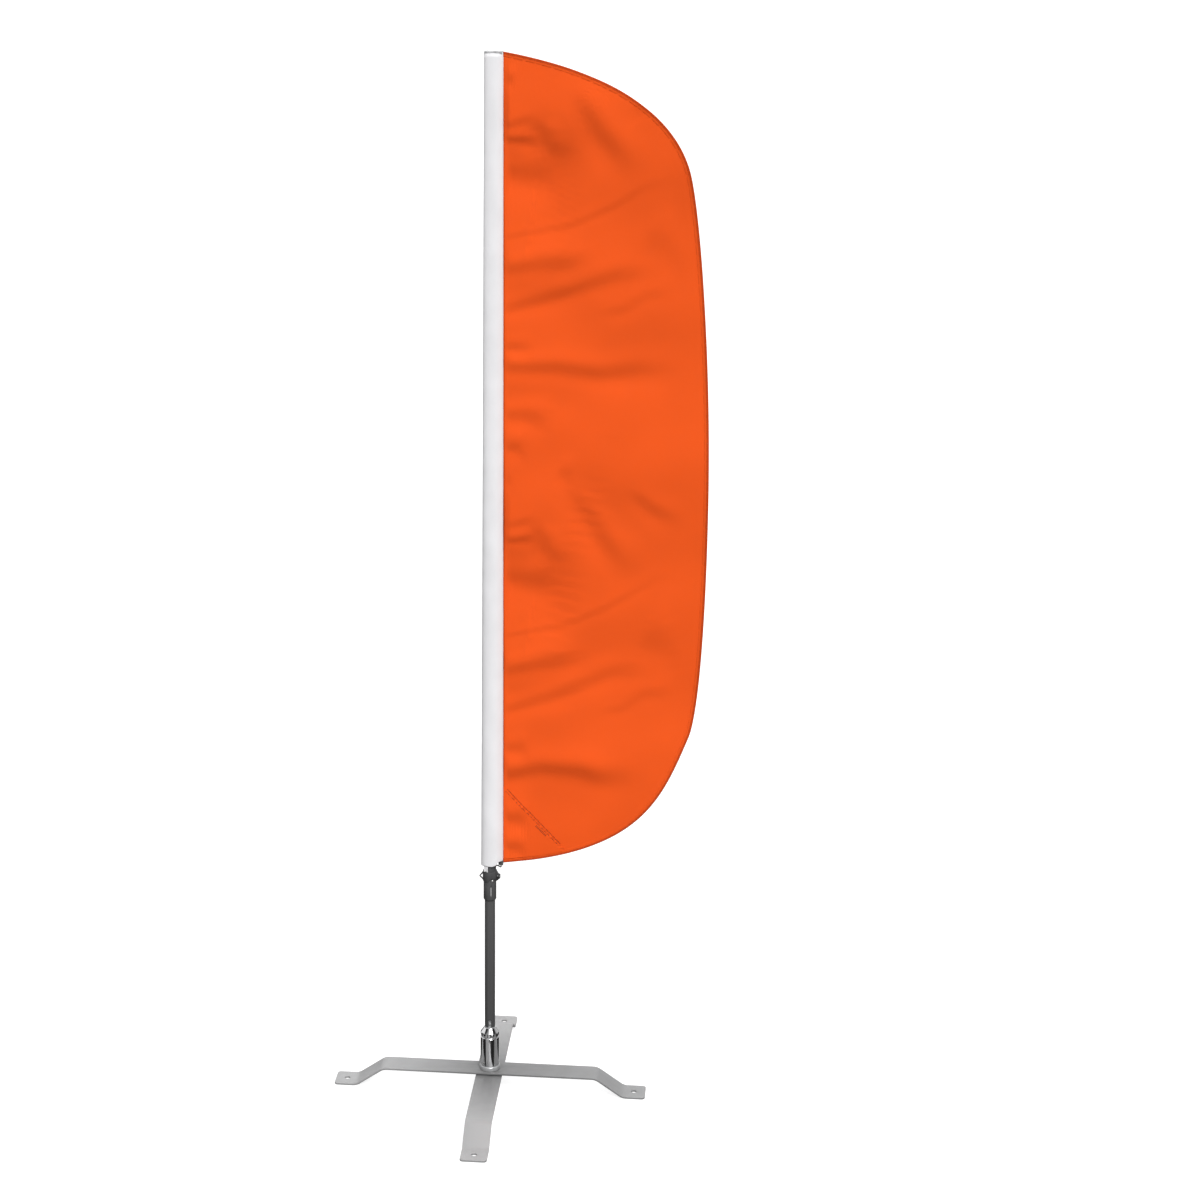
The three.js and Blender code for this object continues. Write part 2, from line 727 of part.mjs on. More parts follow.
// V leaf: one leg ends in an eye round the button, the other lies along the far wall of the pole.
function buttonSpring() {
  const wallAtStrip = Math.sqrt(middlePoleBore ** 2 - (springStrip / 2) ** 2);
  const farLeg = wallAtStrip - gap - springThickness / 2;
  const nearLeg = farLeg - 0.5;
  const corners = [
    [-farLeg, buttonZ - 12],
    [-farLeg, buttonZ - springLength + 8],
    [-farLeg / 2, buttonZ - springLength],
    [nearLeg / 4, buttonZ - springLength + 10],
    [nearLeg, buttonZ - 6],
    [nearLeg, buttonZ + 7],
  ];
  const side = stripOutline(roundedPath(corners, 1.5, 3), springThickness);
  const leaf = slab(side, -springStrip / 2, springStrip / 2).rotateZ(-Math.PI / 2);
  const eye = radial(rod(buttonRadius + gap, 0, 8, roundInner), buttonZ, 0);
  return cut(leaf, eye).rotateZ(THREE.MathUtils.degToRad(buttonBearing));
}
piece("button_spring", buttonSpring(), bearingSteel);

function middlePole() {
  return cut(tube(middlePoleBore, middlePoleRadius, middlePoleFoot, middlePoleTop), buttonHole());
}
piece("middle_pole", middlePole(), fibreglass);

const poleFerruleBore = middlePoleRadius + gap;
const poleFerruleTop = middlePoleTop + 5;
const topPoleFootRadius = middlePoleBore - gap;

function poleJointFerrule() {
  const outer = poleFerruleBore + poleFerruleWall;
  const lip = topPoleFootRadius + gap;
  const foot = poleFerruleTop - poleFerruleLength;
  const outline = [
    [poleFerruleBore, foot],
    [outer, foot],
    [outer, poleFerruleTop - 1],
    [outer - 1, poleFerruleTop],
    [lip, poleFerruleTop],
    [lip, middlePoleTop + gap],
    [poleFerruleBore, middlePoleTop + gap],
    [poleFerruleBore, foot],
  ];
  return turned(outline);
}
piece("pole_joint_ferrule", poleJointFerrule(), aluminium);

function topPole() {
  const parallelTop = poleFerruleTop + 10;
  const outline = [
    [0, topPoleFootZ],
    [topPoleFootRadius, topPoleFootZ],
    [topPoleFootRadius, parallelTop],
    [topPoleTip / 2, topPoleTop],
    [0, topPoleTop],
  ];
  return turned(outline, roundInner);
}
piece("top_pole", topPole(), fibreglass);

function poleTipCap() {
  const taper = (topPoleFootRadius - topPoleTip / 2) / (topPoleTop - poleFerruleTop - 10);
  const foot = tipCapTop - tipCapLength;
  const bore = topPoleTip / 2 + taper * (topPoleTop - foot) + gap;
  const outer = bore + tipCapWall;
  const outline = [
    [bore, foot],
    [outer, foot],
    [outer, tipCapTop - 2],
    [outer - 2, tipCapTop],
    [0, tipCapTop],
    [0, topPoleTop + gap],
    [bore, topPoleTop + gap],
    [bore, foot],
  ];
  return turned(outline, roundInner);
}
piece("pole_tip_cap", poleTipCap(), blackRubber);

// ---- collar with two eyes, and the elastic that holds the flag down ----
function tensionCollar() {
  const half = collarEarThickness / 2;
  const root = collarBore + 0.6;
  const foot = collarFoot;
  const top = collarTop - 1.5;
  const leftEye = new THREE.Path([
    new THREE.Vector2(-collarRadius - 0.2, eyeZ + leftEyeHalf),
    new THREE.Vector2(-leftEyeReach + eyeWall, eyeZ),
    new THREE.Vector2(-collarRadius - 0.2, eyeZ - leftEyeHalf),
  ]);
  const leftSide = [[-root, top], [-leftEyeReach, eyeZ], [-root, foot]];
  const rightSide = [
    [root, top],
    [rightEyeReach - 3.6, eyeZ + 6.4],
    [rightEyeReach, eyeZ + 5.4],
    [rightEyeReach, eyeZ - 3.6],
    [root + 2, foot],
    [root, foot],
  ];
  const rightEye = new THREE.Path();
  rightEye.absarc(rightEyeReach - 2 - rightEyeRadius, eyeZ, rightEyeRadius, 0, 2 * Math.PI);
  const band = tube(collarBore, collarRadius, collarFoot, collarTop);
  const ears = join(
    band,
    slab(leftSide, -half, half, [leftEye]),
    slab(rightSide, -half, half, [rightEye]),
  );
  const arch = radial(rod(collarArch, 0, collarRadius + 4, roundInner), archZ, buttonBearing);
  return cut(ears, rod(collarBore, collarFoot - 1, collarTop + 1), arch);
}
piece("tension_collar", tensionCollar(), blackNylon);

const eyeX = rightEyeReach - 2 - rightEyeRadius;
const tabFoot = sleeveFoot - 1;
const tabRight = seamBottom + 0.6;
const tabLeft = tabRight - tabWidth;

function tensionCord() {
  const route = [
    [eyeX, -collarEarThickness / 2 - 1, eyeZ],
    [eyeX, 3, eyeZ],
    [eyeX - 1, 10, eyeZ + 1],
    [eyeX - 6, 17, eyeZ + 6],
    [eyeX - 10, 19.6, eyeZ + 13],
    [eyeX - 8, 19, eyeZ + 19],
    [eyeX - 2, 12, eyeZ + 22.5],
    [eyeX + 3, 5, eyeZ + 22.5],
    [tabLeft + 6, 0, tabFoot - 3.6],
    [tabLeft + 6, 0, tabFoot - gap - 0.1],
  ];
  const line = new THREE.CatmullRomCurve3(route.map((point) => new THREE.Vector3(...point)));
  const section = new THREE.Shape();
  section.absarc(0, 0, cordDiameter / 2, 0, 2 * Math.PI);
  const settings = { steps: 26, curveSegments: 4, extrudePath: line, bevelEnabled: false };
  return closed(new THREE.ExtrudeGeometry(section, settings));
}
piece("tension_cord", tensionCord(), blackRubber);

const knot = new THREE.SphereGeometry(knotDiameter / 2, 14, 10);
knot.translate(eyeX, -collarEarThickness / 2 - 1 - gap - knotDiameter / 2, eyeZ);
piece("cord_knot", closed(knot), blackRubber);

// ---- flag ----
function seamX(z) {
  return THREE.MathUtils.mapLinear(z, panelFoot, flagTop, seamBottom, seamTop);
}

// Free edge from the top of the seam round to its bottom, as shares of the panel's width and height.
function freeEdge() {
  const place = ([u, v]) => {
    const z = panelFoot + v * flagHeight;
    return new THREE.Vector2(seamX(z) + u * (flagReach - seamX(z)), z);
  };
  const spans = [
    [[0, 1], [0.6, 0.976], [0.824, 0.917], [0.881, 0.864]],
    [[0.881, 0.864], [0.932, 0.815], [1, 0.633], [1, 0.464]],
    [[1, 0.464], [1, 0.315], [0.974, 0.203], [0.928, 0.174]],
    [[0.928, 0.174], [0.8, 0.093], [0.696, 0.02], [0, 0]],
  ];
  const points = [];
  for (const [i, span] of spans.entries()) {
    const steps = 10;
    const curve = new THREE.CubicBezierCurve(...span.map(place));
    points.push(...curve.getPoints(steps).slice(i ? 1 : 0));
  }
  return points;
}

// The free edge moved inward, ending on the seam.
function inset(points, distance) {
  return points.map((point, i) => {
    const before = points[Math.max(i - 1, 0)];
    const after = points[Math.min(i + 1, points.length - 1)];
    const along = after.clone().sub(before).normalize();
    const moved = new THREE.Vector2(point.x + along.y * distance, point.y - along.x * distance);
    moved.x = Math.max(moved.x, seamX(moved.y));
    return moved;
  });
}

const edge = freeEdge();

function edgeSlab(points, thickness) {
  const shape = points.map((point) => [point.x + seamGap, point.y]);
  return slab(shape, -thickness / 2, thickness / 2);
}

function flagPanel() {
  const outline = inset(edge, hemWidth + gap);
  outline[0].x = seamX(outline[0].y);
  outline[outline.length - 1].x = seamX(outline[outline.length - 1].y);
  return edgeSlab(outline, panelThickness);
}
piece("flag_panel", closed(flagPanel()), orangeCloth);

function flagHem() {
  const inner = inset(edge, hemWidth);
  inner[0].x = seamX(inner[0].y);
  inner[inner.length - 1].x = seamX(inner[inner.length - 1].y);
  return edgeSlab([...edge, ...inner.reverse()], hemThickness);
}
piece("flag_hem", closed(flagHem()), orangeCloth);

function cornerPatch() {
  const rise = panelFoot + hemWidth + 1;
  const outline = [
    [seamX(rise) + 1.5, rise + 1],
    [seamX(rise) + patchAlongEdge, rise + patchAlongEdge * 0.34],
    [seamX(rise) + 1.5, rise + patchAlongSeam],
  ];
  const front = -panelThickness / 2 - gap;
  return slab(outline, front - patchThickness, front);
}
piece("corner_patch", closed(cornerPatch()), orangeCloth);

// Section of the sleeve: a fold round the pole that closes to the seam. Unit width and depth.
function sleeveSection(wallX, wallY) {
  const section = new THREE.Shape();
  const tail = 0.06;
  section.moveTo(1 - wallX, tail);
  section.bezierCurveTo(0.8, 0.4 - wallY, 0.62, 0.5 - wallY, 0.4, 0.5 - wallY);
  section.bezierCurveTo(0.16, 0.5 - wallY, wallX, 0.28, wallX, 0);
  section.bezierCurveTo(wallX, -0.28, 0.16, wallY - 0.5, 0.4, wallY - 0.5);
  section.bezierCurveTo(0.62, wallY - 0.5, 0.8, wallY - 0.4, 1 - wallX, -tail);
  return section;
}

function sleeveLoft(section, foot, top) {
  const settings = { depth: 1, steps: 1, curveSegments: 6, bevelEnabled: false };
  const loft = new THREE.ExtrudeGeometry(section, settings);
  const place = loft.getAttribute("position");
  const { mapLinear } = THREE.MathUtils;
  for (let i = 0; i < place.count; i++) {
    const z = foot + place.getZ(i) * (top - foot);
    const fold = mapLinear(z, sleeveFoot, flagTop, sleeveEdgeBottom, sleeveEdgeTop);
    const depth = mapLinear(z, sleeveFoot, flagTop, sleeveDepthBottom, sleeveDepthTop);
    const x = fold + place.getX(i) * (seamX(z) - fold);
    place.setXYZ(i, x, place.getY(i) * depth, z);
  }
  return closed(loft);
}

function flagSleeve() {
  const width = seamBottom - sleeveEdgeBottom;
  const skin = sleeveLoft(sleeveSection(0, 0), sleeveFoot, flagTop);
  const inside = sleeveSection(sleeveWall / width, sleeveWall / sleeveDepthTop);
  const hollow = sleeveLoft(inside, sleeveFoot - 10, sleeveInnerTop);
  const tabRoom = box(tabLeft - gap, tabRight + 9, -20, 20, tabFoot - 1, tabFoot + tabHeight + gap);
  return cut(skin, hollow, tabRoom);
}
piece("flag_sleeve", flagSleeve(), whiteCloth);

const tabHalf = tabThickness / 2;
const tab = box(tabLeft, tabRight, -tabHalf, tabHalf, tabFoot, panelFoot - 2);
piece("sleeve_tab", tab, greyWebbing);

const tailFront = -neckRadius - 1;
const tailTop = sleeveFoot - gap;
const tailBack = tailFront - tailThickness;
const tail = box(-tailInset, tailWidth - tailInset, tailBack, tailFront, collarTop + gap, tailTop);
piece("sleeve_tail", tail, whiteCloth);

function sleeveTopTape() {
  const foot = flagTop + gap;
  const left = sleeveEdgeTop + 1;
  const right = seamTop - 1;
  const side = sleeveDepthTop / 2 + 2 * gap;
  const strip = box(left, right, -side - tapeThickness, side + tapeThickness, foot - tapeHeight, foot + tapeThickness);
  const room = box(left - 1, right + 1, -side, side, foot - tapeHeight - 1, foot);
  return cut(strip, room);
}
piece("sleeve_top_tape", sleeveTopTape(), greyWebbing);

export default group;
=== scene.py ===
import math

import bpy
import numpy as np
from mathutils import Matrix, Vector


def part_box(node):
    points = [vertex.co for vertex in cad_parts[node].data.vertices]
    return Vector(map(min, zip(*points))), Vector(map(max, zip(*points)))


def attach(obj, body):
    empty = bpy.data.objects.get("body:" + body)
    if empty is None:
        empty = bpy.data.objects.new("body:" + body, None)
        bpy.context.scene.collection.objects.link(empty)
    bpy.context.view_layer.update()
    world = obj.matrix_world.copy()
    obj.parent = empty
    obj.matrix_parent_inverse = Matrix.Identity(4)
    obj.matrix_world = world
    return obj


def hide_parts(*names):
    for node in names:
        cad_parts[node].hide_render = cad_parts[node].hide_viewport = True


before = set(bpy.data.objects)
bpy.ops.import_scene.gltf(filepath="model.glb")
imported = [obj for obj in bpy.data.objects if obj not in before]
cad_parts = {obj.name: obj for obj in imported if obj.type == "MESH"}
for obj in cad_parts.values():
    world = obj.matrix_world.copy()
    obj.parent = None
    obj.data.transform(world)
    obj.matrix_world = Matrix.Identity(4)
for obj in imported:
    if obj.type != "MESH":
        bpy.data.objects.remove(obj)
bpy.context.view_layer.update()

bl_info = {
    "name": "Feather flag with pole",
    "version": (1, 0, 0),
    "blender": (4, 5, 0),
    "location": "View3D > Sidebar > Feather Flag",
    "description": "Builds a feather flag on a jointed mast with a folding cross base",
    "category": "Object",
}

MM = 0.001
TURN = 2 * math.pi

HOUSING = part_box("rotator_housing")
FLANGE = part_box("rotator_flange")
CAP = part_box("bearing_cap")
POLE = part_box("lower_pole")
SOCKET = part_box("pole_socket")
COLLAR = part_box("tension_collar")
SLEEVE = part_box("flag_sleeve")
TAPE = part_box("sleeve_top_tape")
MAST_X = (HOUSING[0].x + HOUSING[1].x) / 2


def mm(value):
    return value / MM


# Heights above the floor, in millimetres, as the drawings of the turned pieces use them.
FLANGE_FOOT, FLANGE_TOP = mm(FLANGE[0].z), mm(FLANGE[1].z)
HOUSING_FOOT, HOUSING_TOP = mm(HOUSING[0].z), mm(HOUSING[1].z)
CAP_TOP = mm(CAP[1].z)
POLE_FOOT, POLE_TOP = mm(POLE[0].z), mm(POLE[1].z)
SOCKET_FOOT, SOCKET_TOP = mm(SOCKET[0].z), mm(SOCKET[1].z)
COLLAR_FOOT, COLLAR_TOP = mm(COLLAR[0].z), mm(COLLAR[1].z)
SLEEVE_FOOT, FLAG_TOP = mm(SLEEVE[0].z), mm(SLEEVE[1].z)
PANEL_FOOT = SLEEVE_FOOT + 6
FLAG_HEIGHT = FLAG_TOP - PANEL_FOOT

# Radii and places about the mast, in millimetres.
HOUSING_RADIUS = mm(HOUSING[1].x - MAST_X)
POLE_RADIUS = mm(POLE[1].x - MAST_X)
SOCKET_RADIUS = mm(SOCKET[1].x - MAST_X)
POLE_BORE = POLE_RADIUS - 2.2
LINER_RADIUS = POLE_RADIUS + 1.1
SOCKET_BORE = LINER_RADIUS + 0.3
NECK_RADIUS = SOCKET_BORE + 0.9
NECK_FOOT = SOCKET_FOOT + 49
BUTTON_Z = SOCKET_FOOT + 52
BUTTON_BEARING = 30
BUTTON_RADIUS = 3.75
COLLAR_BORE = NECK_RADIUS + 0.3
COLLAR_RADIUS = COLLAR_BORE + 1.7
EYE_Z = COLLAR_FOOT + 10.5
RIGHT_EYE_X = 20.4
SEAM_BOTTOM = mm(SLEEVE[1].x - MAST_X)
SEAM_TOP = mm(TAPE[1].x - MAST_X) + 1
FOLD_BOTTOM = mm(SLEEVE[0].x - MAST_X)
FOLD_TOP = mm(TAPE[0].x - MAST_X) - 1
FREE_EDGE_REACH = 498.4

BAR_REACH = 380
BAR_WIDTH = 63.5
BAR_THICKNESS = 5
FOOT_START = 326
ARM_END = 260
BEND_RADIUS = 30
PEG_HOLE_RADIUS = 6.5
PEG_HOLE_AT = 352


# ---------------------------------------------------------------- settings
def colour_setting(name, description, default):
    return bpy.props.FloatVectorProperty(
        name=name, description=description, default=default, subtype="COLOR", size=3, min=0, max=1)


def length_setting(name, description, default, low, high):
    return bpy.props.FloatProperty(
        name=name, description=description, default=default, subtype="DISTANCE", unit="LENGTH",
        min=low, max=high)


def number_setting(name, description, default, low, high, subtype="NONE"):
    return bpy.props.FloatProperty(
        name=name, description=description, default=default, subtype=subtype, min=low, max=high)


class FlagClothSettings(bpy.types.PropertyGroup):
    panel_colour: colour_setting("Flag colour", "Dyed colour of the flag panel", (0.795, 0.0905, 0.0112))
    sleeve_colour: colour_setting("Sleeve colour", "Colour of the sewn pole sleeve", (0.755, 0.75, 0.765))
    fold_depth: number_setting("Fold depth", "Depth of the folds against their drawn depth",
                               1.0, 0, 2, subtype="FACTOR")
    stitch_length: length_setting("Stitch length", "Length of one stitch and the gap after it",
                                  0.0042, 0.002, 0.02)


class MastSettings(bpy.types.PropertyGroup):
    pole_colour: colour_setting("Pole colour", "Coating of the lower pole", (0.066, 0.066, 0.067))
    fitting_colour: colour_setting("Fitting colour", "Moulded nylon of the socket and the collar",
                                   (0.062, 0.062, 0.064))
    edge_radius: length_setting("Moulded edge radius", "Rounding of the edges of moulded pieces",
                                0.0005, 0, 0.002)


class BaseSettings(bpy.types.PropertyGroup):
    bar_colour: colour_setting("Bar colour", "Powder coat of the two crossed bars", (0.226, 0.226, 0.228))
    bar_edge_radius: length_setting("Bar edge radius", "Rounding along the edges of the bars",
                                    0.0009, 0, 0.002)


class StageSettings(bpy.types.PropertyGroup):
    lens: number_setting("Lens", "Focal length on a 36 mm sensor", 84, 20, 300)
    key_power: number_setting("Key light", "Strength of the soft key light", 3.0, 0, 10)
    back_power: number_setting("Back light", "Strength of the soft light from behind", 1.6, 0, 10)
    floor_glow: number_setting("Floor glow", "Light given off by the white floor", 0.86, 0, 2)


# ---------------------------------------------------------------- modelling helpers
def clear_selection():
    if bpy.context.object and bpy.context.object.mode != "OBJECT":
        bpy.ops.object.mode_set(mode="OBJECT")
    bpy.ops.object.select_all(action="DESELECT")


def make_active(piece):
    clear_selection()
    piece.select_set(True)
    bpy.context.view_layer.objects.active = piece


def apply_modifier(piece, kind, **settings):
    make_active(piece)
    modifier = piece.modifiers.new(kind.lower(), kind)
    for key, value in settings.items():
        setattr(modifier, key, value)
    bpy.ops.object.modifier_apply(modifier=modifier.name)


def pick(piece, wanted):
    """Enters edit mode with just the vertices selected whose place passes the test."""
    make_active(piece)
    bpy.ops.object.mode_set(mode="EDIT")
    bpy.ops.mesh.select_mode(type="VERT")
    bpy.ops.mesh.select_all(action="DESELECT")
    bpy.ops.object.mode_set(mode="OBJECT")
    for vertex in piece.data.vertices:
        vertex.select = wanted(vertex.co)
    bpy.ops.object.mode_set(mode="EDIT")


def edit_whole(piece, operator, **settings):
    """Runs one edit mode operator on all of a piece."""
    make_active(piece)
    bpy.ops.object.mode_set(mode="EDIT")
    bpy.ops.mesh.select_all(action="SELECT")
    operator(**settings)
    bpy.ops.object.mode_set(mode="OBJECT")


def cylinder(radius, depth, location, rotation=(0, 0, 0), vertices=48):
    """A rod of that radius and depth in millimetres, with its middle at a place in metres."""
    clear_selection()
    bpy.ops.mesh.primitive_cylinder_add(
        vertices=vertices, radius=radius * MM, depth=depth * MM, location=location, rotation=rotation)
    return bpy.context.object


def chain(name, points, close=False):
    """A line of vertices drawn with extrusions. Leaves the object in edit mode with all of it selected."""
    clear_selection()
    bpy.ops.mesh.primitive_plane_add(size=MM, location=(0, 0, 0))
    piece = bpy.context.object
    piece.name = piece.data.name = name
    bpy.ops.object.mode_set(mode="EDIT")
    bpy.ops.mesh.select_mode(type="VERT")
    bpy.ops.mesh.select_all(action="SELECT")
    bpy.ops.mesh.merge(type="CENTER")
    bpy.ops.transform.translate(value=Vector(points[0]))
    path = list(points) + ([points[0]] if close else [])
    for here, there in zip(path, path[1:]):
        step = Vector(there) - Vector(here)
        bpy.ops.mesh.extrude_vertices_move(TRANSFORM_OT_translate={"value": step})
    bpy.ops.mesh.select_all(action="SELECT")
    if close:
        bpy.ops.mesh.remove_doubles(threshold=1e-6)
    return piece


def close_up(piece):
    bpy.ops.mesh.select_all(action="SELECT")
    bpy.ops.mesh.remove_doubles(threshold=2e-6)
    bpy.ops.mesh.normals_make_consistent(inside=False)
    bpy.ops.object.mode_set(mode="OBJECT")
    return piece


def turned(name, outline, steps=72, close=True, about=None):
    """Spins a profile of (radius, height) millimetres about the mast, or about a point."""
    centre = Vector((MAST_X, 0, 0)) if about is None else Vector(about)
    points = [centre + Vector((r * MM, 0, z * MM)) for r, z in outline]
    piece = chain(name, points, close)
    bpy.ops.mesh.spin(steps=steps, angle=TURN, center=centre, axis=(0, 0, 1))
    return close_up(piece)


def plate(name, outline, front, back):
    """A flat plate drawn in (x, z) millimetres from the mast axis, between two depths."""
    points = [(MAST_X + x * MM, front * MM, z * MM) for x, z in outline]
    piece = chain(name, points, close=True)
    bpy.ops.mesh.edge_face_add()
    depth = (0, (back - front) * MM, 0)
    bpy.ops.mesh.extrude_region_move(TRANSFORM_OT_translate={"value": depth})
    return close_up(piece)


def outward(bearing, z, distance):
    """The point at a distance from the mast axis, bearing degrees from the front."""
    a = math.radians(bearing)
    return Vector((MAST_X + math.sin(a) * distance * MM, -math.cos(a) * distance * MM, z * MM))


def radial_rod(name, radius, inner, outer, z, bearing, vertices=40, slot=0):
    """A rod that points out from the mast. With slot it is drawn down into a slot of that length."""
    piece = cylinder(radius, outer - inner, outward(bearing, z, (inner + outer) / 2),
                     rotation=(math.pi / 2, 0, math.radians(bearing)), vertices=vertices)
    piece.name = name
    bpy.ops.object.transform_apply(location=True, rotation=True, scale=True)
    if slot:
        pick(piece, lambda co: co.z < z * MM - 1e-5)
        bpy.ops.transform.translate(value=(0, 0, -slot * MM))
        bpy.ops.object.mode_set(mode="OBJECT")
    return piece


def boolean(piece, tools, operation="DIFFERENCE"):
    for tool in tools:
        apply_modifier(piece, "BOOLEAN", object=tool, operation=operation, solver="EXACT")
        bpy.data.objects.remove(tool, do_unlink=True)


def soften(piece, radius, segments=2, angle=34):
    """Rounds the sharp edges and shades the rest smooth."""
    apply_modifier(piece, "BEVEL", width=radius, segments=segments, limit_method="ANGLE",
                   angle_limit=math.radians(angle), harden_normals=False)
    make_active(piece)
    bpy.ops.object.shade_smooth_by_angle(angle=math.radians(angle))


def settle(piece, body, nodes, material):
    """Dresses a finished piece, sets it on its body and hides the solids it stands for."""
    make_active(piece)
    bpy.ops.object.transform_apply(location=True, rotation=True, scale=True)
    piece.data.materials.clear()
    piece.data.materials.append(material)
    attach(piece, body)
    if nodes:
        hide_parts(*nodes)
    if not piece.data.polygons:
        raise RuntimeError(f"{piece.name} came out with no faces")
    return piece


def skin(name, points, faces, place=None):
    """A mesh from arrays of points in metres. place is stored as the cloth's own coordinates."""
    mesh = bpy.data.meshes.new(name)
    mesh.from_pydata(np.asarray(points, float).tolist(), [], [list(map(int, f)) for f in faces])
    if place is not None:
        attribute = mesh.attributes.new("cloth_place", "FLOAT_VECTOR", "POINT")
        attribute.data.foreach_set("vector", np.asarray(place, np.float32).ravel())
    mesh.polygons.foreach_set("use_smooth", [True] * len(mesh.polygons))
    mesh.update()
    piece = bpy.data.objects.new(name, mesh)
    bpy.context.scene.collection.objects.link(piece)
    return piece


def ease(value):
    """A smooth step from 0 to 1."""
    value = np.clip(value, 0, 1)
    return value * value * (3 - 2 * value)


def distances(line):
    """How far along a line each of its points is."""
    return np.concatenate([[0], np.cumsum(np.linalg.norm(np.diff(line, axis=0), axis=1))])


def even_points(line, count):
    """Points at even distances along a flat line."""
    travelled = distances(line)
    even = np.linspace(0, travelled[-1], count)
    return np.stack([np.interp(even, travelled, line[:, k]) for k in (0, 1)], 1)


def curve_points(spans, each):
    """Points along joined curves, each drawn with four handles."""
    points = []
    for i, span in enumerate(spans):
        a, b, c, d = (np.array(handle, float) for handle in span)
        for t in np.linspace(0, 1, each)[0 if i == 0 else 1:]:
            points.append(a * (1 - t) ** 3 + 3 * b * t * (1 - t) ** 2 + 3 * c * t * t * (1 - t) + d * t ** 3)
    return np.array(points)


def unit_rows(vectors):
    return vectors / np.linalg.norm(vectors, axis=1)[:, None]


def grid_faces(rows, columns, wrap=False):
    faces = []
    last = columns if wrap else columns - 1
    for r in range(rows - 1):
        for c in range(last):
            d = (c + 1) % columns
            faces.append((r * columns + c, r * columns + d, (r + 1) * columns + d, (r + 1) * columns + c))
    return faces


# ---------------------------------------------------------------- materials
class Nodes:
    """Makes and links the nodes of one tree."""

    def __init__(self, tree):
        self.tree = tree

    def node(self, kind, **settings):
        made = self.tree.nodes.new(kind)
        for key, value in settings.items():
            setattr(made, key, value)
        return made

    def link(self, source, target):
        self.tree.links.new(source, target)

    def math(self, operation, *values):
        made = self.node("ShaderNodeMath", operation=operation)
        for socket, value in zip(made.inputs, values):
            if isinstance(value, (int, float)):
                socket.default_value = value
            else:
                self.link(value, socket)
        return made.outputs[0]

    def span(self, value, low, high, start=0.3, end=0.7):
        made = self.node("ShaderNodeMapRange")
        for name, level in (("From Min", start), ("From Max", end), ("To Min", low), ("To Max", high)):
            made.inputs[name].default_value = level
        self.link(value, made.inputs["Value"])
        return made.outputs["Result"]


class Finish(Nodes):
    """A Principled material whose colour, roughness and bump come from procedural nodes."""

    def __init__(self, name, colour, metallic=0.0, roughness=0.5, specular=0.5, attribute=None):
        self.material = bpy.data.materials.new(name)
        self.material.use_nodes = True
        super().__init__(self.material.node_tree)
        self.shader = self.tree.nodes["Principled BSDF"]
        self.shader.inputs["Base Color"].default_value = (*colour, 1)
        self.shader.inputs["Metallic"].default_value = metallic
        self.shader.inputs["Roughness"].default_value = roughness
        self.shader.inputs["Specular IOR Level"].default_value = specular
        self.material.diffuse_color = (*colour, 1)
        self.colour = colour
        if attribute:
            source = self.node("ShaderNodeAttribute", attribute_name=attribute)
            self.place = source.outputs["Vector"]
        else:
            self.place = self.node("ShaderNodeTexCoord").outputs["Object"]
        self.height = None

    def stretched(self, scale):
        mapping = self.node("ShaderNodeMapping")
        mapping.inputs["Scale"].default_value = scale
        self.link(self.place, mapping.inputs["Vector"])
        return mapping.outputs["Vector"]

    def noise(self, scale, detail=3.0, stretch=None):
        made = self.node("ShaderNodeTexNoise")
        made.inputs["Scale"].default_value = scale
        made.inputs["Detail"].default_value = detail
        self.link(self.stretched(stretch) if stretch else self.place, made.inputs["Vector"])
        return made.outputs["Fac"]

    def tint(self, value, dark, light, start=0.3, end=0.7):
        """Base colour that runs from dark times the colour to light times the colour."""
        ramp = self.node("ShaderNodeValToRGB")
        value = self.span(value, 0, 1, start, end)
        for element, share in zip(ramp.color_ramp.elements, (dark, light)):
            element.color = (*[min(1.0, c * share) for c in self.colour], 1)
        self.link(value, ramp.inputs["Fac"])
        self.link(ramp.outputs["Color"], self.shader.inputs["Base Color"])

    def rough(self, value, low, high, start=0.3, end=0.7):
        self.link(self.span(value, low, high, start, end), self.shader.inputs["Roughness"])

    def bump(self, value, distance, strength=1.0):
        made = self.node("ShaderNodeBump")
        made.inputs["Strength"].default_value = strength
        made.inputs["Distance"].default_value = distance
        self.link(value, made.inputs["Height"])
        if self.height is not None:
            self.link(self.height, made.inputs["Normal"])
        self.height = made.outputs["Normal"]
        self.link(self.height, self.shader.inputs["Normal"])

    def threads(self, across, along, first="X", second="Z"):
        """Two sets of crossing threads with those spacings, as one height."""
        split = self.node("ShaderNodeSeparateXYZ")
        self.link(self.place, split.inputs[0])
        waves = []
        for axis, spacing in ((first, across), (second, along)):
            phase = self.math("MULTIPLY", split.outputs[axis], TURN / spacing)
            waves.append(self.math("SINE", phase))
        return self.math("MULTIPLY", waves[0], waves[1])


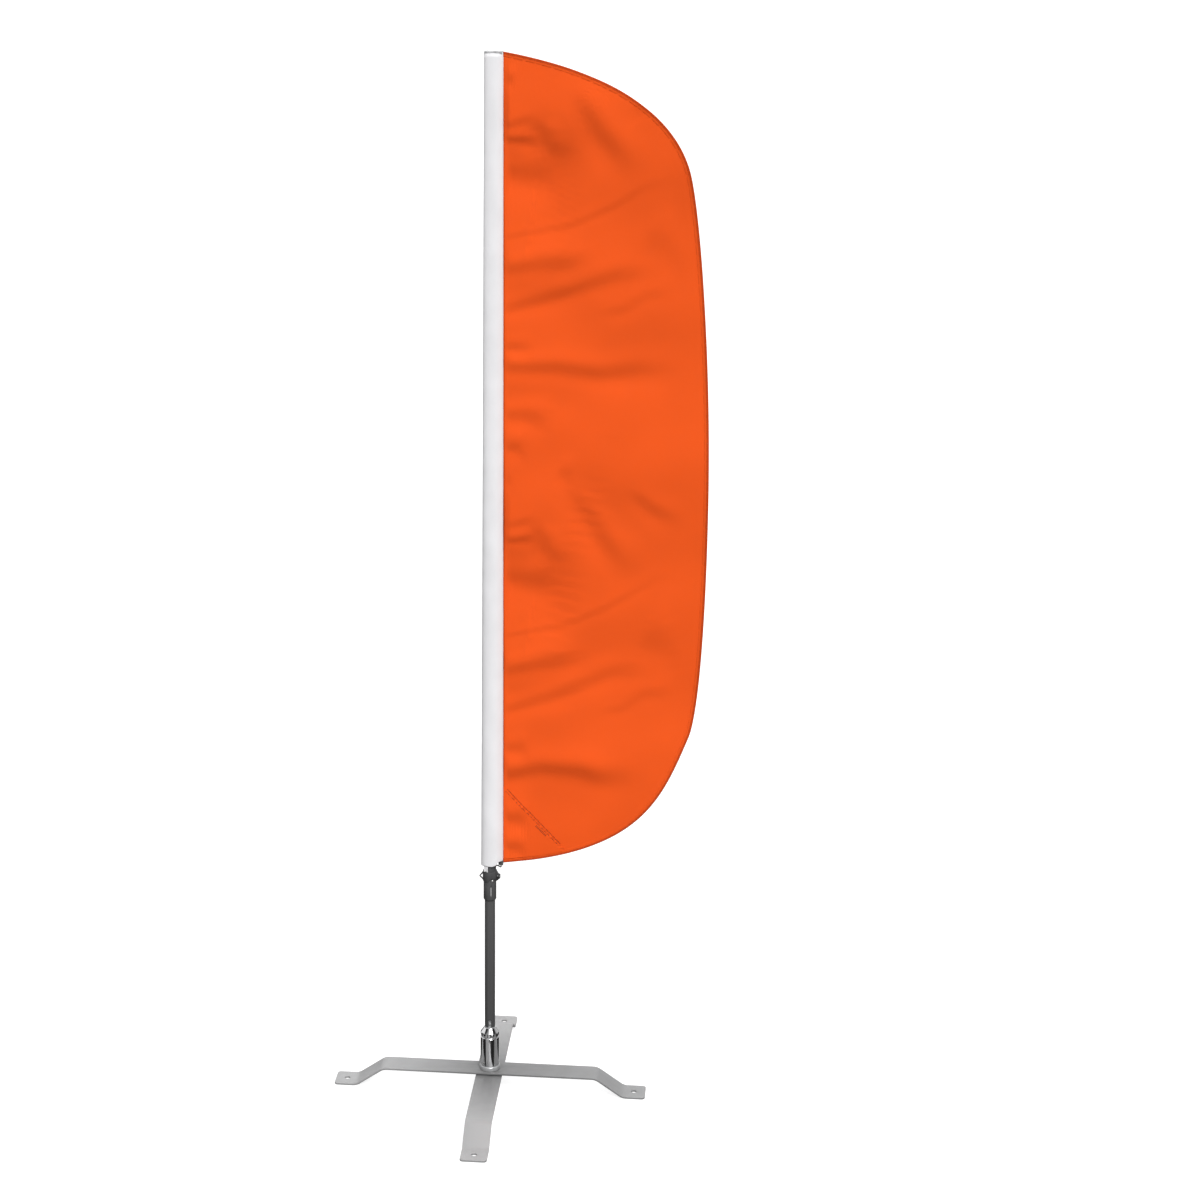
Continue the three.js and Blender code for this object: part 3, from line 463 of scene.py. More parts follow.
def powder_coat(colour):
    made = Finish("silver_powder_coat_painted_light", colour, metallic=0.25, roughness=0.45, specular=0.5)
    # Painted light and shade: the coat is painted paler out towards the feet and along the front and back
    # legs, and darker at the hub and on the right arm, standing in for how the light falls across the base; a
    # little random tone is mixed in.
    split = made.node("ShaderNodeSeparateXYZ")
    made.link(made.place, split.inputs[0])
    across = made.math("POWER", made.math("ADD", split.outputs["X"], -MAST_X), 2.0)
    out = made.math("SQRT", made.math("ADD", across, made.math("POWER", split.outputs["Y"], 2.0)))
    painted_shading = made.math("ADD", out, made.math("MULTIPLY", made.noise(11, 5), 0.09))
    front_back_painted_light = made.math("ABSOLUTE", split.outputs["Y"])
    painted_shading = made.math("ADD", painted_shading, made.math("MULTIPLY", front_back_painted_light, 0.55))
    painted_shading = made.math("ADD", painted_shading, made.math("MULTIPLY", split.outputs["X"], -0.36))
    made.tint(painted_shading, 0.70, 1.5, start=0.08, end=0.47)
    made.rough(made.noise(26, 5), 0.40, 0.56)
    made.bump(made.noise(900, 2), 0.00012, 0.5)
    made.bump(made.noise(60, 2, stretch=(1, 1, 0.3)), 0.0002, 0.25)
    return made.material


def zinc_plate():
    made = Finish("bright_zinc_plate", (0.46, 0.465, 0.47), metallic=0.55, roughness=0.42)
    made.tint(made.noise(70, 4), 0.82, 1.1)
    made.rough(made.noise(160, 4), 0.34, 0.52)
    made.bump(made.noise(1400, 3), 0.00006, 0.5)
    return made.material


def chrome_plate():
    made = Finish("polished_chrome", (0.80, 0.80, 0.81), metallic=1.0, roughness=0.08)
    made.tint(made.noise(40, 3), 0.93, 1.05)
    made.rough(made.noise(120, 5), 0.05, 0.14)
    made.bump(made.noise(55, 2), 0.0003, 0.25)
    return made.material


def ground_steel():
    made = Finish("ground_steel", (0.45, 0.455, 0.46), metallic=1.0, roughness=0.22)
    made.tint(made.noise(90, 3), 0.88, 1.08)
    made.rough(made.noise(300, 4, stretch=(1, 1, 6)), 0.16, 0.34)
    made.bump(made.noise(500, 2, stretch=(1, 1, 8)), 0.00005, 0.4)
    return made.material


def brass():
    made = Finish("pressed_brass", (0.56, 0.36, 0.10), metallic=1.0, roughness=0.35)
    made.tint(made.noise(120, 4), 0.8, 1.08)
    made.rough(made.noise(240, 4), 0.28, 0.5)
    made.bump(made.noise(900, 2), 0.00005, 0.4)
    return made.material


def aluminium_tube():
    made = Finish("drawn_aluminium", (0.30, 0.30, 0.305), metallic=0.85, roughness=0.38)
    made.tint(made.noise(60, 3, stretch=(1, 1, 0.08)), 0.82, 1.1)
    made.rough(made.noise(400, 3, stretch=(1, 1, 0.03)), 0.3, 0.5)
    made.bump(made.noise(1500, 2, stretch=(1, 1, 0.02)), 0.00004, 0.5)
    return made.material


def anodised_liner():
    made = Finish("clear_anodised_liner", (0.42, 0.42, 0.42), metallic=0.35, roughness=0.42)
    made.tint(made.noise(70, 3, stretch=(1, 1, 0.1)), 0.85, 1.1)
    made.rough(made.noise(300, 3, stretch=(1, 1, 0.05)), 0.34, 0.5)
    made.bump(made.noise(1500, 2, stretch=(1, 1, 0.02)), 0.00004, 0.5)
    return made.material


def button_nickel():
    made = Finish("bright_button_nickel", (0.72, 0.72, 0.71), metallic=1.0, roughness=0.3)
    made.tint(made.noise(300, 3), 0.9, 1.0)
    made.rough(made.noise(500, 3), 0.24, 0.38)
    made.bump(made.noise(1200, 2), 0.00005, 0.4)
    return made.material


def black_rubber():
    made = Finish("matt_black_rubber", (0.012, 0.012, 0.013), roughness=0.75, specular=0.35)
    made.tint(made.noise(50, 4), 0.8, 1.5)
    made.rough(made.noise(200, 4), 0.66, 0.86)
    made.bump(made.noise(1100, 3), 0.0001, 0.5)
    return made.material


def pole_coating(colour):
    made = Finish("coated_pole", colour, metallic=0.0, roughness=0.48, specular=0.4)
    made.tint(made.noise(14, 4, stretch=(1, 1, 0.25)), 0.92, 1.08)
    made.rough(made.noise(90, 4, stretch=(1, 1, 0.1)), 0.42, 0.58)
    made.bump(made.noise(1300, 2), 0.00006, 0.5)
    made.bump(made.noise(200, 2, stretch=(1, 1, 0.02)), 0.00008, 0.3)
    return made.material


def moulded_nylon(colour):
    made = Finish("moulded_black_nylon", colour, roughness=0.5, specular=0.45)
    made.tint(made.noise(45, 4), 0.85, 1.12)
    made.rough(made.noise(130, 4), 0.40, 0.60)
    made.bump(made.noise(1600, 2), 0.00012, 0.6)
    return made.material


def fibreglass():
    made = Finish("pultruded_fibreglass", (0.58, 0.58, 0.52), roughness=0.42, specular=0.5)
    made.tint(made.noise(500, 3, stretch=(1, 1, 0.01)), 0.86, 1.06)
    made.rough(made.noise(300, 3, stretch=(1, 1, 0.02)), 0.34, 0.55)
    made.bump(made.noise(900, 2, stretch=(1, 1, 0.01)), 0.00008, 0.5)
    return made.material


def flag_cloth(colour):
    made = Finish("orange_flag_cloth", colour, roughness=0.85, specular=0.1, attribute="cloth_place")
    made.tint(made.noise(5, 5), 0.965, 1.03)
    made.rough(made.noise(40, 3), 0.76, 0.9)
    made.bump(made.threads(0.0011, 0.0009), 0.00012, 0.35)
    made.bump(made.noise(700, 2, stretch=(1, 1, 0.25)), 0.00012, 0.25)
    return made.material


def hem_cloth(colour):
    """The same cloth turned over, darker overall, with painted shade on the rolled outer edge."""
    made = Finish("orange_hem_cloth_painted_edge_shade", tuple(c * 0.84 for c in colour), roughness=0.85, specular=0.1,
                  attribute="cloth_place")
    split = made.node("ShaderNodeSeparateXYZ")
    made.link(made.place, split.inputs[0])
    # Painted shade: a band along the rolled outer edge is painted darker, and noise wobbles its inner border.
    painted_shading = made.math("MULTIPLY", made.noise(90, 4, stretch=(1, 0, 0)), 0.0032)
    made.tint(made.math("ADD", split.outputs["Z"], painted_shading), 0.7, 1.1, start=0.0046, end=0.0076)
    made.rough(made.noise(60, 3), 0.78, 0.9)
    made.bump(made.threads(0.0011, 0.0009), 0.00012, 0.35)
    made.bump(made.noise(300, 2, stretch=(1, 1, 0.25)), 0.0003, 0.4)
    return made.material


def sleeve_cloth(colour):
    made = Finish("white_sleeve_cloth", colour, roughness=0.88, specular=0.2, attribute="cloth_place")
    made.shader.inputs["Sheen Weight"].default_value = 0.1
    made.shader.inputs["Sheen Roughness"].default_value = 0.5
    made.tint(made.noise(12, 4), 0.965, 1.02)
    made.rough(made.noise(60, 3), 0.8, 0.94)
    made.bump(made.threads(0.0012, 0.0010), 0.00012, 0.35)
    made.bump(made.noise(900, 2), 0.0001, 0.25)
    return made.material


def webbing():
    made = Finish("grey_webbing", (0.10, 0.10, 0.10), roughness=0.85, specular=0.2)
    made.tint(made.noise(300, 3), 0.75, 1.2)
    made.rough(made.noise(200, 3), 0.76, 0.92)
    made.bump(made.threads(0.0016, 0.0012), 0.0003, 0.7)
    return made.material


def grey_tape():
    made = Finish("light_grey_tape", (0.42, 0.42, 0.425), roughness=0.95, specular=0.05)
    made.tint(made.noise(260, 3), 0.75, 1.3)
    made.rough(made.noise(200, 3), 0.85, 1.0)
    made.bump(made.threads(0.0014, 0.0011, "X", "Y"), 0.00015, 0.4)
    return made.material


def elastic_braid():
    made = Finish("braided_elastic", (0.012, 0.012, 0.013), roughness=0.7, specular=0.3,
                  attribute="cloth_place")
    made.tint(made.noise(400, 3), 0.7, 1.8)
    made.rough(made.noise(500, 3), 0.6, 0.85)
    split = made.node("ShaderNodeSeparateXYZ")
    made.link(made.place, split.inputs[0])
    round_it = made.math("MULTIPLY", split.outputs["X"], 3.0)
    along = made.math("MULTIPLY", split.outputs["Z"], TURN / 0.0022)
    left = made.math("SINE", made.math("ADD", round_it, along))
    right = made.math("SINE", made.math("SUBTRACT", round_it, along))
    made.bump(made.math("MULTIPLY", left, right), 0.0002, 0.8)
    return made.material


def sewing_thread(name, colour):
    made = Finish(name, colour, roughness=0.6, specular=0.35)
    made.tint(made.noise(900, 2), 0.85, 1.1)
    made.rough(made.noise(700, 2), 0.5, 0.7)
    made.bump(made.noise(2500, 2, stretch=(1, 1, 0.4)), 0.00008, 0.6)
    return made.material


# ---------------------------------------------------------------- cross base
def bar_line(middle):
    """Middle line of a bar in (along, height) millimetres, with its four bends rounded."""
    corners = [(-BAR_REACH, BAR_THICKNESS / 2), (-FOOT_START, BAR_THICKNESS / 2), (-ARM_END, middle),
               (ARM_END, middle), (FOOT_START, BAR_THICKNESS / 2), (BAR_REACH, BAR_THICKNESS / 2)]
    line = [corners[0]]
    for before, here, after in zip(corners, corners[1:], corners[2:]):
        here = Vector(here)
        a = (Vector(before) - here).normalized()
        b = (Vector(after) - here).normalized()
        half = a.angle(b) / 2
        centre = here + (a + b).normalized() * (BEND_RADIUS / math.sin(half))
        start = here + a * (BEND_RADIUS / math.tan(half)) - centre
        end = here + b * (BEND_RADIUS / math.tan(half)) - centre
        for k in range(11):
            part = start.slerp(end, k / 10)
            line.append(tuple(centre + part * (BEND_RADIUS / part.length)))
    return line + [corners[-1]]


def bent_bar(name, middle, lengthwise):
    """A flat strip bent into an arm with two feet. lengthwise is X or Y."""
    half = BAR_WIDTH / 2
    line = bar_line(middle)
    piece = chain(name, [(along * MM, -half * MM, z * MM) for along, z in line])
    bpy.ops.mesh.extrude_edges_move(TRANSFORM_OT_translate={"value": (0, BAR_WIDTH * MM, 0)})
    bpy.ops.object.mode_set(mode="OBJECT")
    pick(piece, lambda co: abs(co.x) > (BAR_REACH - 0.01) * MM)
    bpy.ops.mesh.bevel(offset=8 * MM, offset_pct=0, segments=7, affect="VERTICES")
    bpy.ops.mesh.select_all(action="SELECT")
    bpy.ops.mesh.normals_make_consistent(inside=False)
    bpy.ops.object.mode_set(mode="OBJECT")
    apply_modifier(piece, "SOLIDIFY", thickness=BAR_THICKNESS * MM, offset=0, use_even_offset=True)
    boolean(piece, [cylinder(PEG_HOLE_RADIUS, 30, (along * MM, 0, z * MM))
                    for along, z in ((-PEG_HOLE_AT, 0), (PEG_HOLE_AT, 0), (0, middle))])
    make_active(piece)
    if lengthwise == "Y":
        piece.rotation_euler.z = math.pi / 2
    piece.location.x = MAST_X
    bpy.ops.object.transform_apply(location=True, rotation=True, scale=True)
    return piece


class FLAGPOLE_OT_base(bpy.types.Operator):
    """Makes the two crossed bars of the folding base"""
    bl_idname = "flagpole.base"
    bl_label = "Cross base"

    def execute(self, context):
        settings = context.scene.flagpole_base
        paint = powder_coat(settings.bar_colour)
        upper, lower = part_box("upper_bar")[1].z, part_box("lower_bar")[1].z
        for name, top, lengthwise, body in (("upper_arm_bar", upper, "X", "base"),
                                            ("lower_arm_bar", lower, "Y", "cross_arm")):
            piece = bent_bar(name, mm(top) - BAR_THICKNESS / 2, lengthwise)
            soften(piece, settings.bar_edge_radius, segments=3, angle=28)
            node = "upper_bar" if lengthwise == "X" else "lower_bar"
            settle(piece, body, [node], paint)
        return {"FINISHED"}


# ---------------------------------------------------------------- rotator
class FLAGPOLE_OT_rotator(bpy.types.Operator):
    """Makes the flange, the housing, its grub screw and the fluted cap"""
    bl_idname = "flagpole.rotator"
    bl_label = "Rotator"

    def execute(self, context):
        chrome, zinc = chrome_plate(), zinc_plate()
        shank = 6.3
        edge = HOUSING_RADIUS + 1.8
        flange = turned("rotator_foot_flange", [
            (shank, FLANGE_FOOT), (edge, FLANGE_FOOT), (edge, FLANGE_TOP - 1.5),
            (edge - 1.5, FLANGE_TOP), (shank, FLANGE_TOP)], steps=96)
        soften(flange, 0.5 * MM, segments=3)
        settle(flange, "base", ["rotator_flange"], zinc)

        floor = HOUSING_FOOT + 20
        bore, inset = 17.8, HOUSING_RADIUS - 1.2
        groove_foot, groove_top = floor + 47.1, floor + 49.2
        housing = turned("rotator_bearing_housing", [
            (shank, HOUSING_FOOT), (inset, HOUSING_FOOT), (HOUSING_RADIUS, HOUSING_FOOT + 1.2),
            (HOUSING_RADIUS, HOUSING_TOP - 1.2), (inset, HOUSING_TOP), (bore, HOUSING_TOP),
            (bore, groove_top), (19.3, groove_top), (19.3, groove_foot), (bore, groove_foot),
            (bore, floor), (shank, floor)], steps=96)
        grub_z, grub_bearing = HOUSING_FOOT + 8, -37
        boolean(housing, [radial_rod("grub_hole", 3.3, 6, 26, grub_z, grub_bearing)])
        soften(housing, 0.35 * MM, segments=3, angle=25)
        settle(housing, "base", ["rotator_housing"], chrome)

        screw = radial_rod("housing_set_screw", 3, 6.3, HOUSING_RADIUS + 1, grub_z, grub_bearing)
        drive = radial_rod("hex_drive", 1.75, HOUSING_RADIUS - 2, HOUSING_RADIUS + 3, grub_z,
                           grub_bearing, vertices=6)
        boolean(screw, [drive])
        soften(screw, 0.3 * MM, segments=2)
        settle(screw, "base", ["housing_grub_screw"], button_nickel())

        lip = HOUSING_RADIUS + 0.3
        foot = CAP_TOP - 24
        seal_bore, seal_out, shoulder = 9.7, 12.9, 12.3
        cap = turned("fluted_bearing_cap", [
            (seal_bore, foot - 9.5), (17.5, foot - 9.5), (17.5, foot), (lip - 2.4, foot),
            (lip - 0.6, foot + 5),
            (lip, foot + 8), (lip - 0.2, foot + 11.5), (lip - 2, foot + 13), (shoulder + 2.2, CAP_TOP - 0.8),
            (shoulder + 1.4, CAP_TOP), (shoulder, CAP_TOP), (shoulder, CAP_TOP - 4), (seal_bore, CAP_TOP - 4),
            (seal_bore, CAP_TOP - 5.7), (seal_out + 0.3, CAP_TOP - 5.7), (seal_out + 0.3, CAP_TOP - 11.3),
            (seal_bore, CAP_TOP - 11.3)], steps=96)
        flutes = []
        flute_count, flute_radius, flute_depth = 12, 5, 1.7
        away = (lip + flute_radius - flute_depth) * MM
        for i in range(flute_count):
            angle = TURN * (i + 0.5) / flute_count
            place = (MAST_X + away * math.cos(angle), away * math.sin(angle), (foot + 12) * MM)
            flutes.append(cylinder(flute_radius, 26, place, vertices=32))
        boolean(cap, flutes)
        soften(cap, 0.3 * MM, segments=2, angle=26)
        settle(cap, "base", ["bearing_cap"], chrome)
        return {"FINISHED"}


# ---------------------------------------------------------------- mast
class FLAGPOLE_OT_mast(bpy.types.Operator):
    """Makes the lower pole, the moulded socket on it, its liner and the snap button"""
    bl_idname = "flagpole.mast"
    bl_label = "Mast"

    def execute(self, context):
        settings = context.scene.flagpole_mast
        coat, nylon = pole_coating(settings.pole_colour), moulded_nylon(settings.fitting_colour)
        button_hole = BUTTON_RADIUS + 0.3
        pole = turned("lower_pole_tube", [
            (POLE_BORE, POLE_FOOT), (POLE_RADIUS, POLE_FOOT), (POLE_RADIUS, POLE_TOP),
            (POLE_BORE, POLE_TOP)], steps=72)
        notch = radial_rod("pole_notch", 4.25, POLE_BORE - 2, POLE_RADIUS + 2, POLE_FOOT + 19 - 4.25, 4,
                           slot=22)
        boolean(pole, [notch, radial_rod("button_hole", button_hole, 8, 20, BUTTON_Z, BUTTON_BEARING)])
        soften(pole, 0.35 * MM, segments=2, angle=30)
        settle(pole, "mast", ["lower_pole"], coat)

        liner_foot, liner_top = POLE_TOP - 69, POLE_TOP - 1
        liner = turned("socket_liner_tube", [
            (LINER_RADIUS - 0.8, liner_foot), (LINER_RADIUS, liner_foot), (LINER_RADIUS, liner_top),
            (LINER_RADIUS - 0.8, liner_top)], steps=72)
        boolean(liner, [radial_rod("button_hole", button_hole, 8, 20, BUTTON_Z, BUTTON_BEARING)])
        settle(liner, "mast", ["ferrule_liner"], anodised_liner())

        lip, shelf, slip = POLE_RADIUS + 0.3, POLE_TOP + 0.3, POLE_BORE - 0.5
        socket = turned("moulded_pole_socket", [
            (lip, SOCKET_FOOT), (SOCKET_RADIUS - 2, SOCKET_FOOT), (SOCKET_RADIUS, SOCKET_FOOT + 3),
            (SOCKET_RADIUS, NECK_FOOT), (NECK_RADIUS, NECK_FOOT), (NECK_RADIUS, SOCKET_TOP - 2),
            (NECK_RADIUS - 1.5, SOCKET_TOP), (slip, SOCKET_TOP), (slip, shelf), (SOCKET_BORE, shelf),
            (SOCKET_BORE, liner_foot - 0.3), (lip, liner_foot - 0.3)], steps=72)
        slot_half = 2.15
        slot = radial_rod("socket_slot", slot_half, SOCKET_BORE - 0.1, SOCKET_RADIUS + 2,
                          SOCKET_FOOT + 37 - slot_half, 17, slot=37 - 2 * slot_half - 12.7)
        boolean(socket, [slot, radial_rod("button_hole", button_hole, 8, 20, BUTTON_Z, BUTTON_BEARING)])
        soften(socket, settings.edge_radius * 0.6, segments=2, angle=30)
        settle(socket, "mast", ["pole_socket"], nylon)

        tip = SOCKET_RADIUS + 2.2
        profile = [(0, -13.8), (BUTTON_RADIUS, -13.8)]
        profile += [(BUTTON_RADIUS * math.cos(a), -2.4 + 2.4 * math.sin(a))
                    for a in (math.pi / 2 * k / 8 for k in range(8))] + [(0, 0)]
        button = turned("snap_button_pin", profile, steps=40, close=False, about=(0, 0, 0))
        make_active(button)
        button.rotation_euler = (math.pi / 2, 0, math.radians(BUTTON_BEARING))
        button.location = outward(BUTTON_BEARING, BUTTON_Z, tip)
        bpy.ops.object.transform_apply(location=True, rotation=True, scale=True)
        soften(button, 0.25 * MM, segments=2)
        settle(button, "button", ["snap_button"], bpy.data.materials["bright_button_nickel"])
        return {"FINISHED"}


class FLAGPOLE_OT_collar(bpy.types.Operator):
    """Makes the collar with two eyes and the arch over the button"""
    bl_idname = "flagpole.collar"
    bl_label = "Collar"

    def execute(self, context):
        settings = context.scene.flagpole_mast
        top, half, root = COLLAR_TOP - 1.5, 2.5, COLLAR_BORE + 0.6
        left_tip, right_tip = mm(COLLAR[0].x - MAST_X), mm(COLLAR[1].x - MAST_X)
        collar = turned("two_eyed_collar", [
            (COLLAR_BORE, COLLAR_FOOT), (COLLAR_RADIUS, COLLAR_FOOT), (COLLAR_RADIUS, COLLAR_TOP),
            (COLLAR_BORE, COLLAR_TOP)], steps=72)
        left = plate("left_ear", [(-root, top), (left_tip, EYE_Z), (-root, COLLAR_FOOT)], -half, half)
        right = plate("right_ear", [
            (root, top), (right_tip - 3.6, EYE_Z + 6.4), (right_tip, EYE_Z + 5.4), (right_tip, EYE_Z - 3.6),
            (root + 2, COLLAR_FOOT), (root, COLLAR_FOOT)], -half, half)
        boolean(collar, [left, right], operation="UNION")
        left_eye = plate("left_eye", [
            (-COLLAR_RADIUS - 0.2, EYE_Z + 6.4), (left_tip + 2.2, EYE_Z),
            (-COLLAR_RADIUS - 0.2, EYE_Z - 6.4)],
            -half - 2, half + 2)
        right_eye = cylinder(2.6, 20, (MAST_X + RIGHT_EYE_X * MM, 0, EYE_Z * MM),
                             rotation=(math.pi / 2, 0, 0), vertices=40)
        arch = radial_rod("button_arch", 11, 0, COLLAR_RADIUS + 4, BUTTON_Z - 4.5, BUTTON_BEARING,
                          vertices=64)
        boolean(collar, [left_eye, right_eye, arch])
        soften(collar, settings.edge_radius * 0.7, segments=2, angle=30)
        settle(collar, "mast", ["tension_collar"], bpy.data.materials["moulded_black_nylon"])
        return {"FINISHED"}


# ---------------------------------------------------------------- elastic
def smooth_route(points, each=6):
    """Catmull-Rom curve through the points."""
    p = np.array([points[0], *points, points[-1]], float)
    out = []
    for i in range(1, len(p) - 2):
        for k in range(each):
            t = k / each
            a, b, c, d = p[i - 1:i + 3]
            out.append(0.5 * (2 * b + (c - a) * t + (2 * a - 5 * b + 4 * c - d) * t ** 2
                              + (3 * b - a - 3 * c + d) * t ** 3))
    return np.array([*out, p[-2]])


def cord_skin(name, line, radius, sides=16):
    """A round cord along a line, closed by a small dome at both ends."""
    line = np.asarray(line, float)
    along = unit_rows(np.gradient(line, axis=0))
    side = np.cross(along[0], (0, 0, 1.0))
    side /= np.linalg.norm(side)
    points, place = [], []
    travelled = distances(line)
    rings = [(0, -0.6, 0.45), (0, -0.25, 0.85)] + [(i, 0, 1) for i in range(len(line))]
    rings += [(len(line) - 1, 0.25, 0.85), (len(line) - 1, 0.6, 0.45)]
    for i, shift, share in rings:
        side = side - along[i] * (side @ along[i])
        side /= np.linalg.norm(side)
        up = np.cross(along[i], side)
        for k in range(sides):
            a = TURN * k / sides
            way = side * math.cos(a) + up * math.sin(a)
            points.append(line[i] + along[i] * shift * radius + way * radius * share)
            place.append((a, 0, travelled[i] + shift * radius))
    faces = grid_faces(len(rings), sides, wrap=True)
    faces.append(tuple(range(sides))[::-1])
    faces.append(tuple((len(rings) - 1) * sides + k for k in range(sides)))
    return skin(name, points, faces, place)


class FLAGPOLE_OT_elastic(bpy.types.Operator):
    """Makes the elastic cord from the collar up to the flag's tab, and its knot"""
    bl_idname = "flagpole.elastic"
    bl_label = "Tension elastic"

    def execute(self, context):
        braid = elastic_braid()
        x, z = RIGHT_EYE_X, EYE_Z
        route = [(x, -3.5, z), (x, 3, z), (x - 1, 10, z + 1), (x - 6, 17, z + 6), (x - 10, 19.6, z + 13),
                 (x - 8, 19, z + 19), (x - 2, 12, z + 22.5), (x + 3, 5, z + 22.5), (26.5, 0, z + 25.3),
                 (26.5, 0, z + 28.5)]
        line = smooth_route([(MAST_X + px * MM, py * MM, pz * MM) for px, py, pz in route])
        cord = cord_skin("tension_elastic", line, 1.5 * MM)
        settle(cord, "mast", ["tension_cord"], braid)

        knot_line = []
        for k in range(73):
            t = TURN * k / 72
            knot_line.append((1.15 * math.sin(t) + 1.5 * math.sin(2 * t), 1.1 * math.sin(3 * t),
                              1.15 * math.cos(t) - 1.5 * math.cos(2 * t)))
        centre = Vector((MAST_X + x * MM, -7.1 * MM, z * MM))
        knot_points = [tuple(centre + Vector(p) * MM * 0.78) for p in knot_line[:-1]]
        knot = cord_skin("elastic_stop_knot", knot_points, 1.25 * MM, sides=12)
        settle(knot, "mast", ["cord_knot"], braid)
        return {"FINISHED"}


# ---------------------------------------------------------------- flag cloth
# Folds: points in millimetres (from the mast axis, above the panel's foot), half width and depth share.
FOLDS = [
    ([(31, 1853), (59, 1847)], 9, 0.8),
    ([(31, 1747), (71, 1760), (115, 1772)], 7, 0.6),
    ([(31, 1718), (111, 1717)], 7, 1.0),
    ([(115, 1767), (124, 1722), (131, 1674)], 14, 0.9),
    ([(31, 1646), (100, 1638), (160, 1648)], 28, 0.7),
    ([(31, 1501), (178, 1529), (277, 1575), (343, 1620), (397, 1634), (435, 1626)], 6, 0.6),
    ([(32, 1429), (123, 1447), (246, 1450)], 14, 0.9),
    ([(32, 1339), (150, 1373), (279, 1421), (401, 1433)], 12, 0.9),
    ([(229, 1330), (303, 1343), (347, 1378), (429, 1386)], 9, 0.5),
    ([(32, 1254), (102, 1256)], 9, 0.8),
    ([(41, 1206), (152, 1209), (249, 1196), (332, 1207), (461, 1208)], 14, 1.0),
    ([(32, 1095), (84, 1097), (153, 1082)], 14, 0.9),
    ([(32, 1023), (85, 1024)], 12, 0.9),
    ([(182, 1845), (198, 1812), (242, 1737), (300, 1668), (342, 1635)], 16, 1.0),
    ([(313, 1799), (342, 1773)], 12, 0.4),
    ([(333, 1509), (378, 1495), (426, 1502)], 41, 0.4),
    ([(32, 945), (55, 946)], 9, 0.7),
    ([(149, 970), (197, 960)], 12, 0.5),
    ([(33, 836), (115, 858)], 7, 0.6),
    ([(33, 800), (115, 810)], 7, 1.0),
    ([(115, 846), (129, 792), (144, 739)], 14, 0.9),
    ([(33, 712), (105, 702), (167, 718)], 28, 0.7),
    ([(33, 568), (175, 600), (271, 647), (358, 703), (385, 723), (465, 714)], 6, 0.6),
    ([(33, 485), (129, 508), (245, 532)], 14, 0.9),
    ([(33, 386), (157, 428), (280, 489), (408, 502)], 12, 0.9),
    ([(240, 384), (309, 397), (351, 435), (455, 447)], 9, 0.5),
    ([(33, 294), (99, 296)], 12, 0.8),
    ([(33, 223), (119, 247), (206, 243), (260, 228), (377, 240)], 16, 1.0),
    ([(34, 117), (100, 117)], 14, 0.9),
    ([(34, 45), (96, 43)], 12, 0.8),
    ([(184, 945), (200, 913), (253, 819), (310, 745), (352, 712)], 16, 1.0),
    ([(313, 935), (366, 889), (447, 845)], 18, 0.7),
    ([(339, 579), (383, 566), (441, 573)], 41, 0.4),
    ([(20, 1700), (110, 1704), (240, 1670)], 92, 0.75),
    ([(20, 1392), (110, 1402), (230, 1425)], 46, 0.55),
    ([(20, 1160), (140, 1162), (300, 1150)], 44, 0.4),
    ([(20, 765), (110, 770), (240, 740)], 92, 0.75),
    ([(20, 452), (110, 464), (230, 486)], 46, 0.55),
    ([(20, 224), (140, 226), (300, 215)], 44, 0.4),
    ([(150, 985), (220, 955), (300, 950)], 60, 0.35),
]
FOLD_SLOPE = 0.24  # steepest slope of a full-depth fold

# Free edge from the top of the seam round to its bottom: spans of four handles, as shares of the
# width and the height.
EDGE_SPANS = [
    [(0, 1), (0.6, 0.976), (0.824, 0.917), (0.881, 0.864)],
    [(0.881, 0.864), (0.932, 0.815), (1, 0.633), (1, 0.464)],
    [(1, 0.464), (1, 0.315), (0.974, 0.203), (0.928, 0.174)],
    [(0.928, 0.174), (0.8, 0.093), (0.696, 0.02), (0, 0)],
]


HEM_ROW = 4.9  # the hem's stitches, in from the edge
# The corner's double row of stitches: its upper and lower end in (x, height) millimetres.
CORNER_ROW = ((35.9, 780.8), (172.0, 639.2))
CORNER_WAY = (0.693, -0.721)


def from_corner_row(x, z):
    """How far a place is along the corner's stitched line, and how far above it."""
    x, z = x - CORNER_ROW[0][0], z - CORNER_ROW[0][1]
    return x * CORNER_WAY[0] + z * CORNER_WAY[1], -x * CORNER_WAY[1] + z * CORNER_WAY[0]


def seam_x(z):
    return SEAM_BOTTOM + (SEAM_TOP - SEAM_BOTTOM) * (z - PANEL_FOOT) / FLAG_HEIGHT


def free_edge(stations):
    """Points on the free edge at even distances, from the seam's foot up to its top."""
    spans = []
    for span in EDGE_SPANS:
        heights = [PANEL_FOOT + v * FLAG_HEIGHT for _, v in span]
        spans.append([(seam_x(z) + u * (FREE_EDGE_REACH - seam_x(z)), z) for (u, _), z in zip(span, heights)])
    points = curve_points(spans, 120)[::-1]
    return even_points(points, stations), distances(points)[-1]


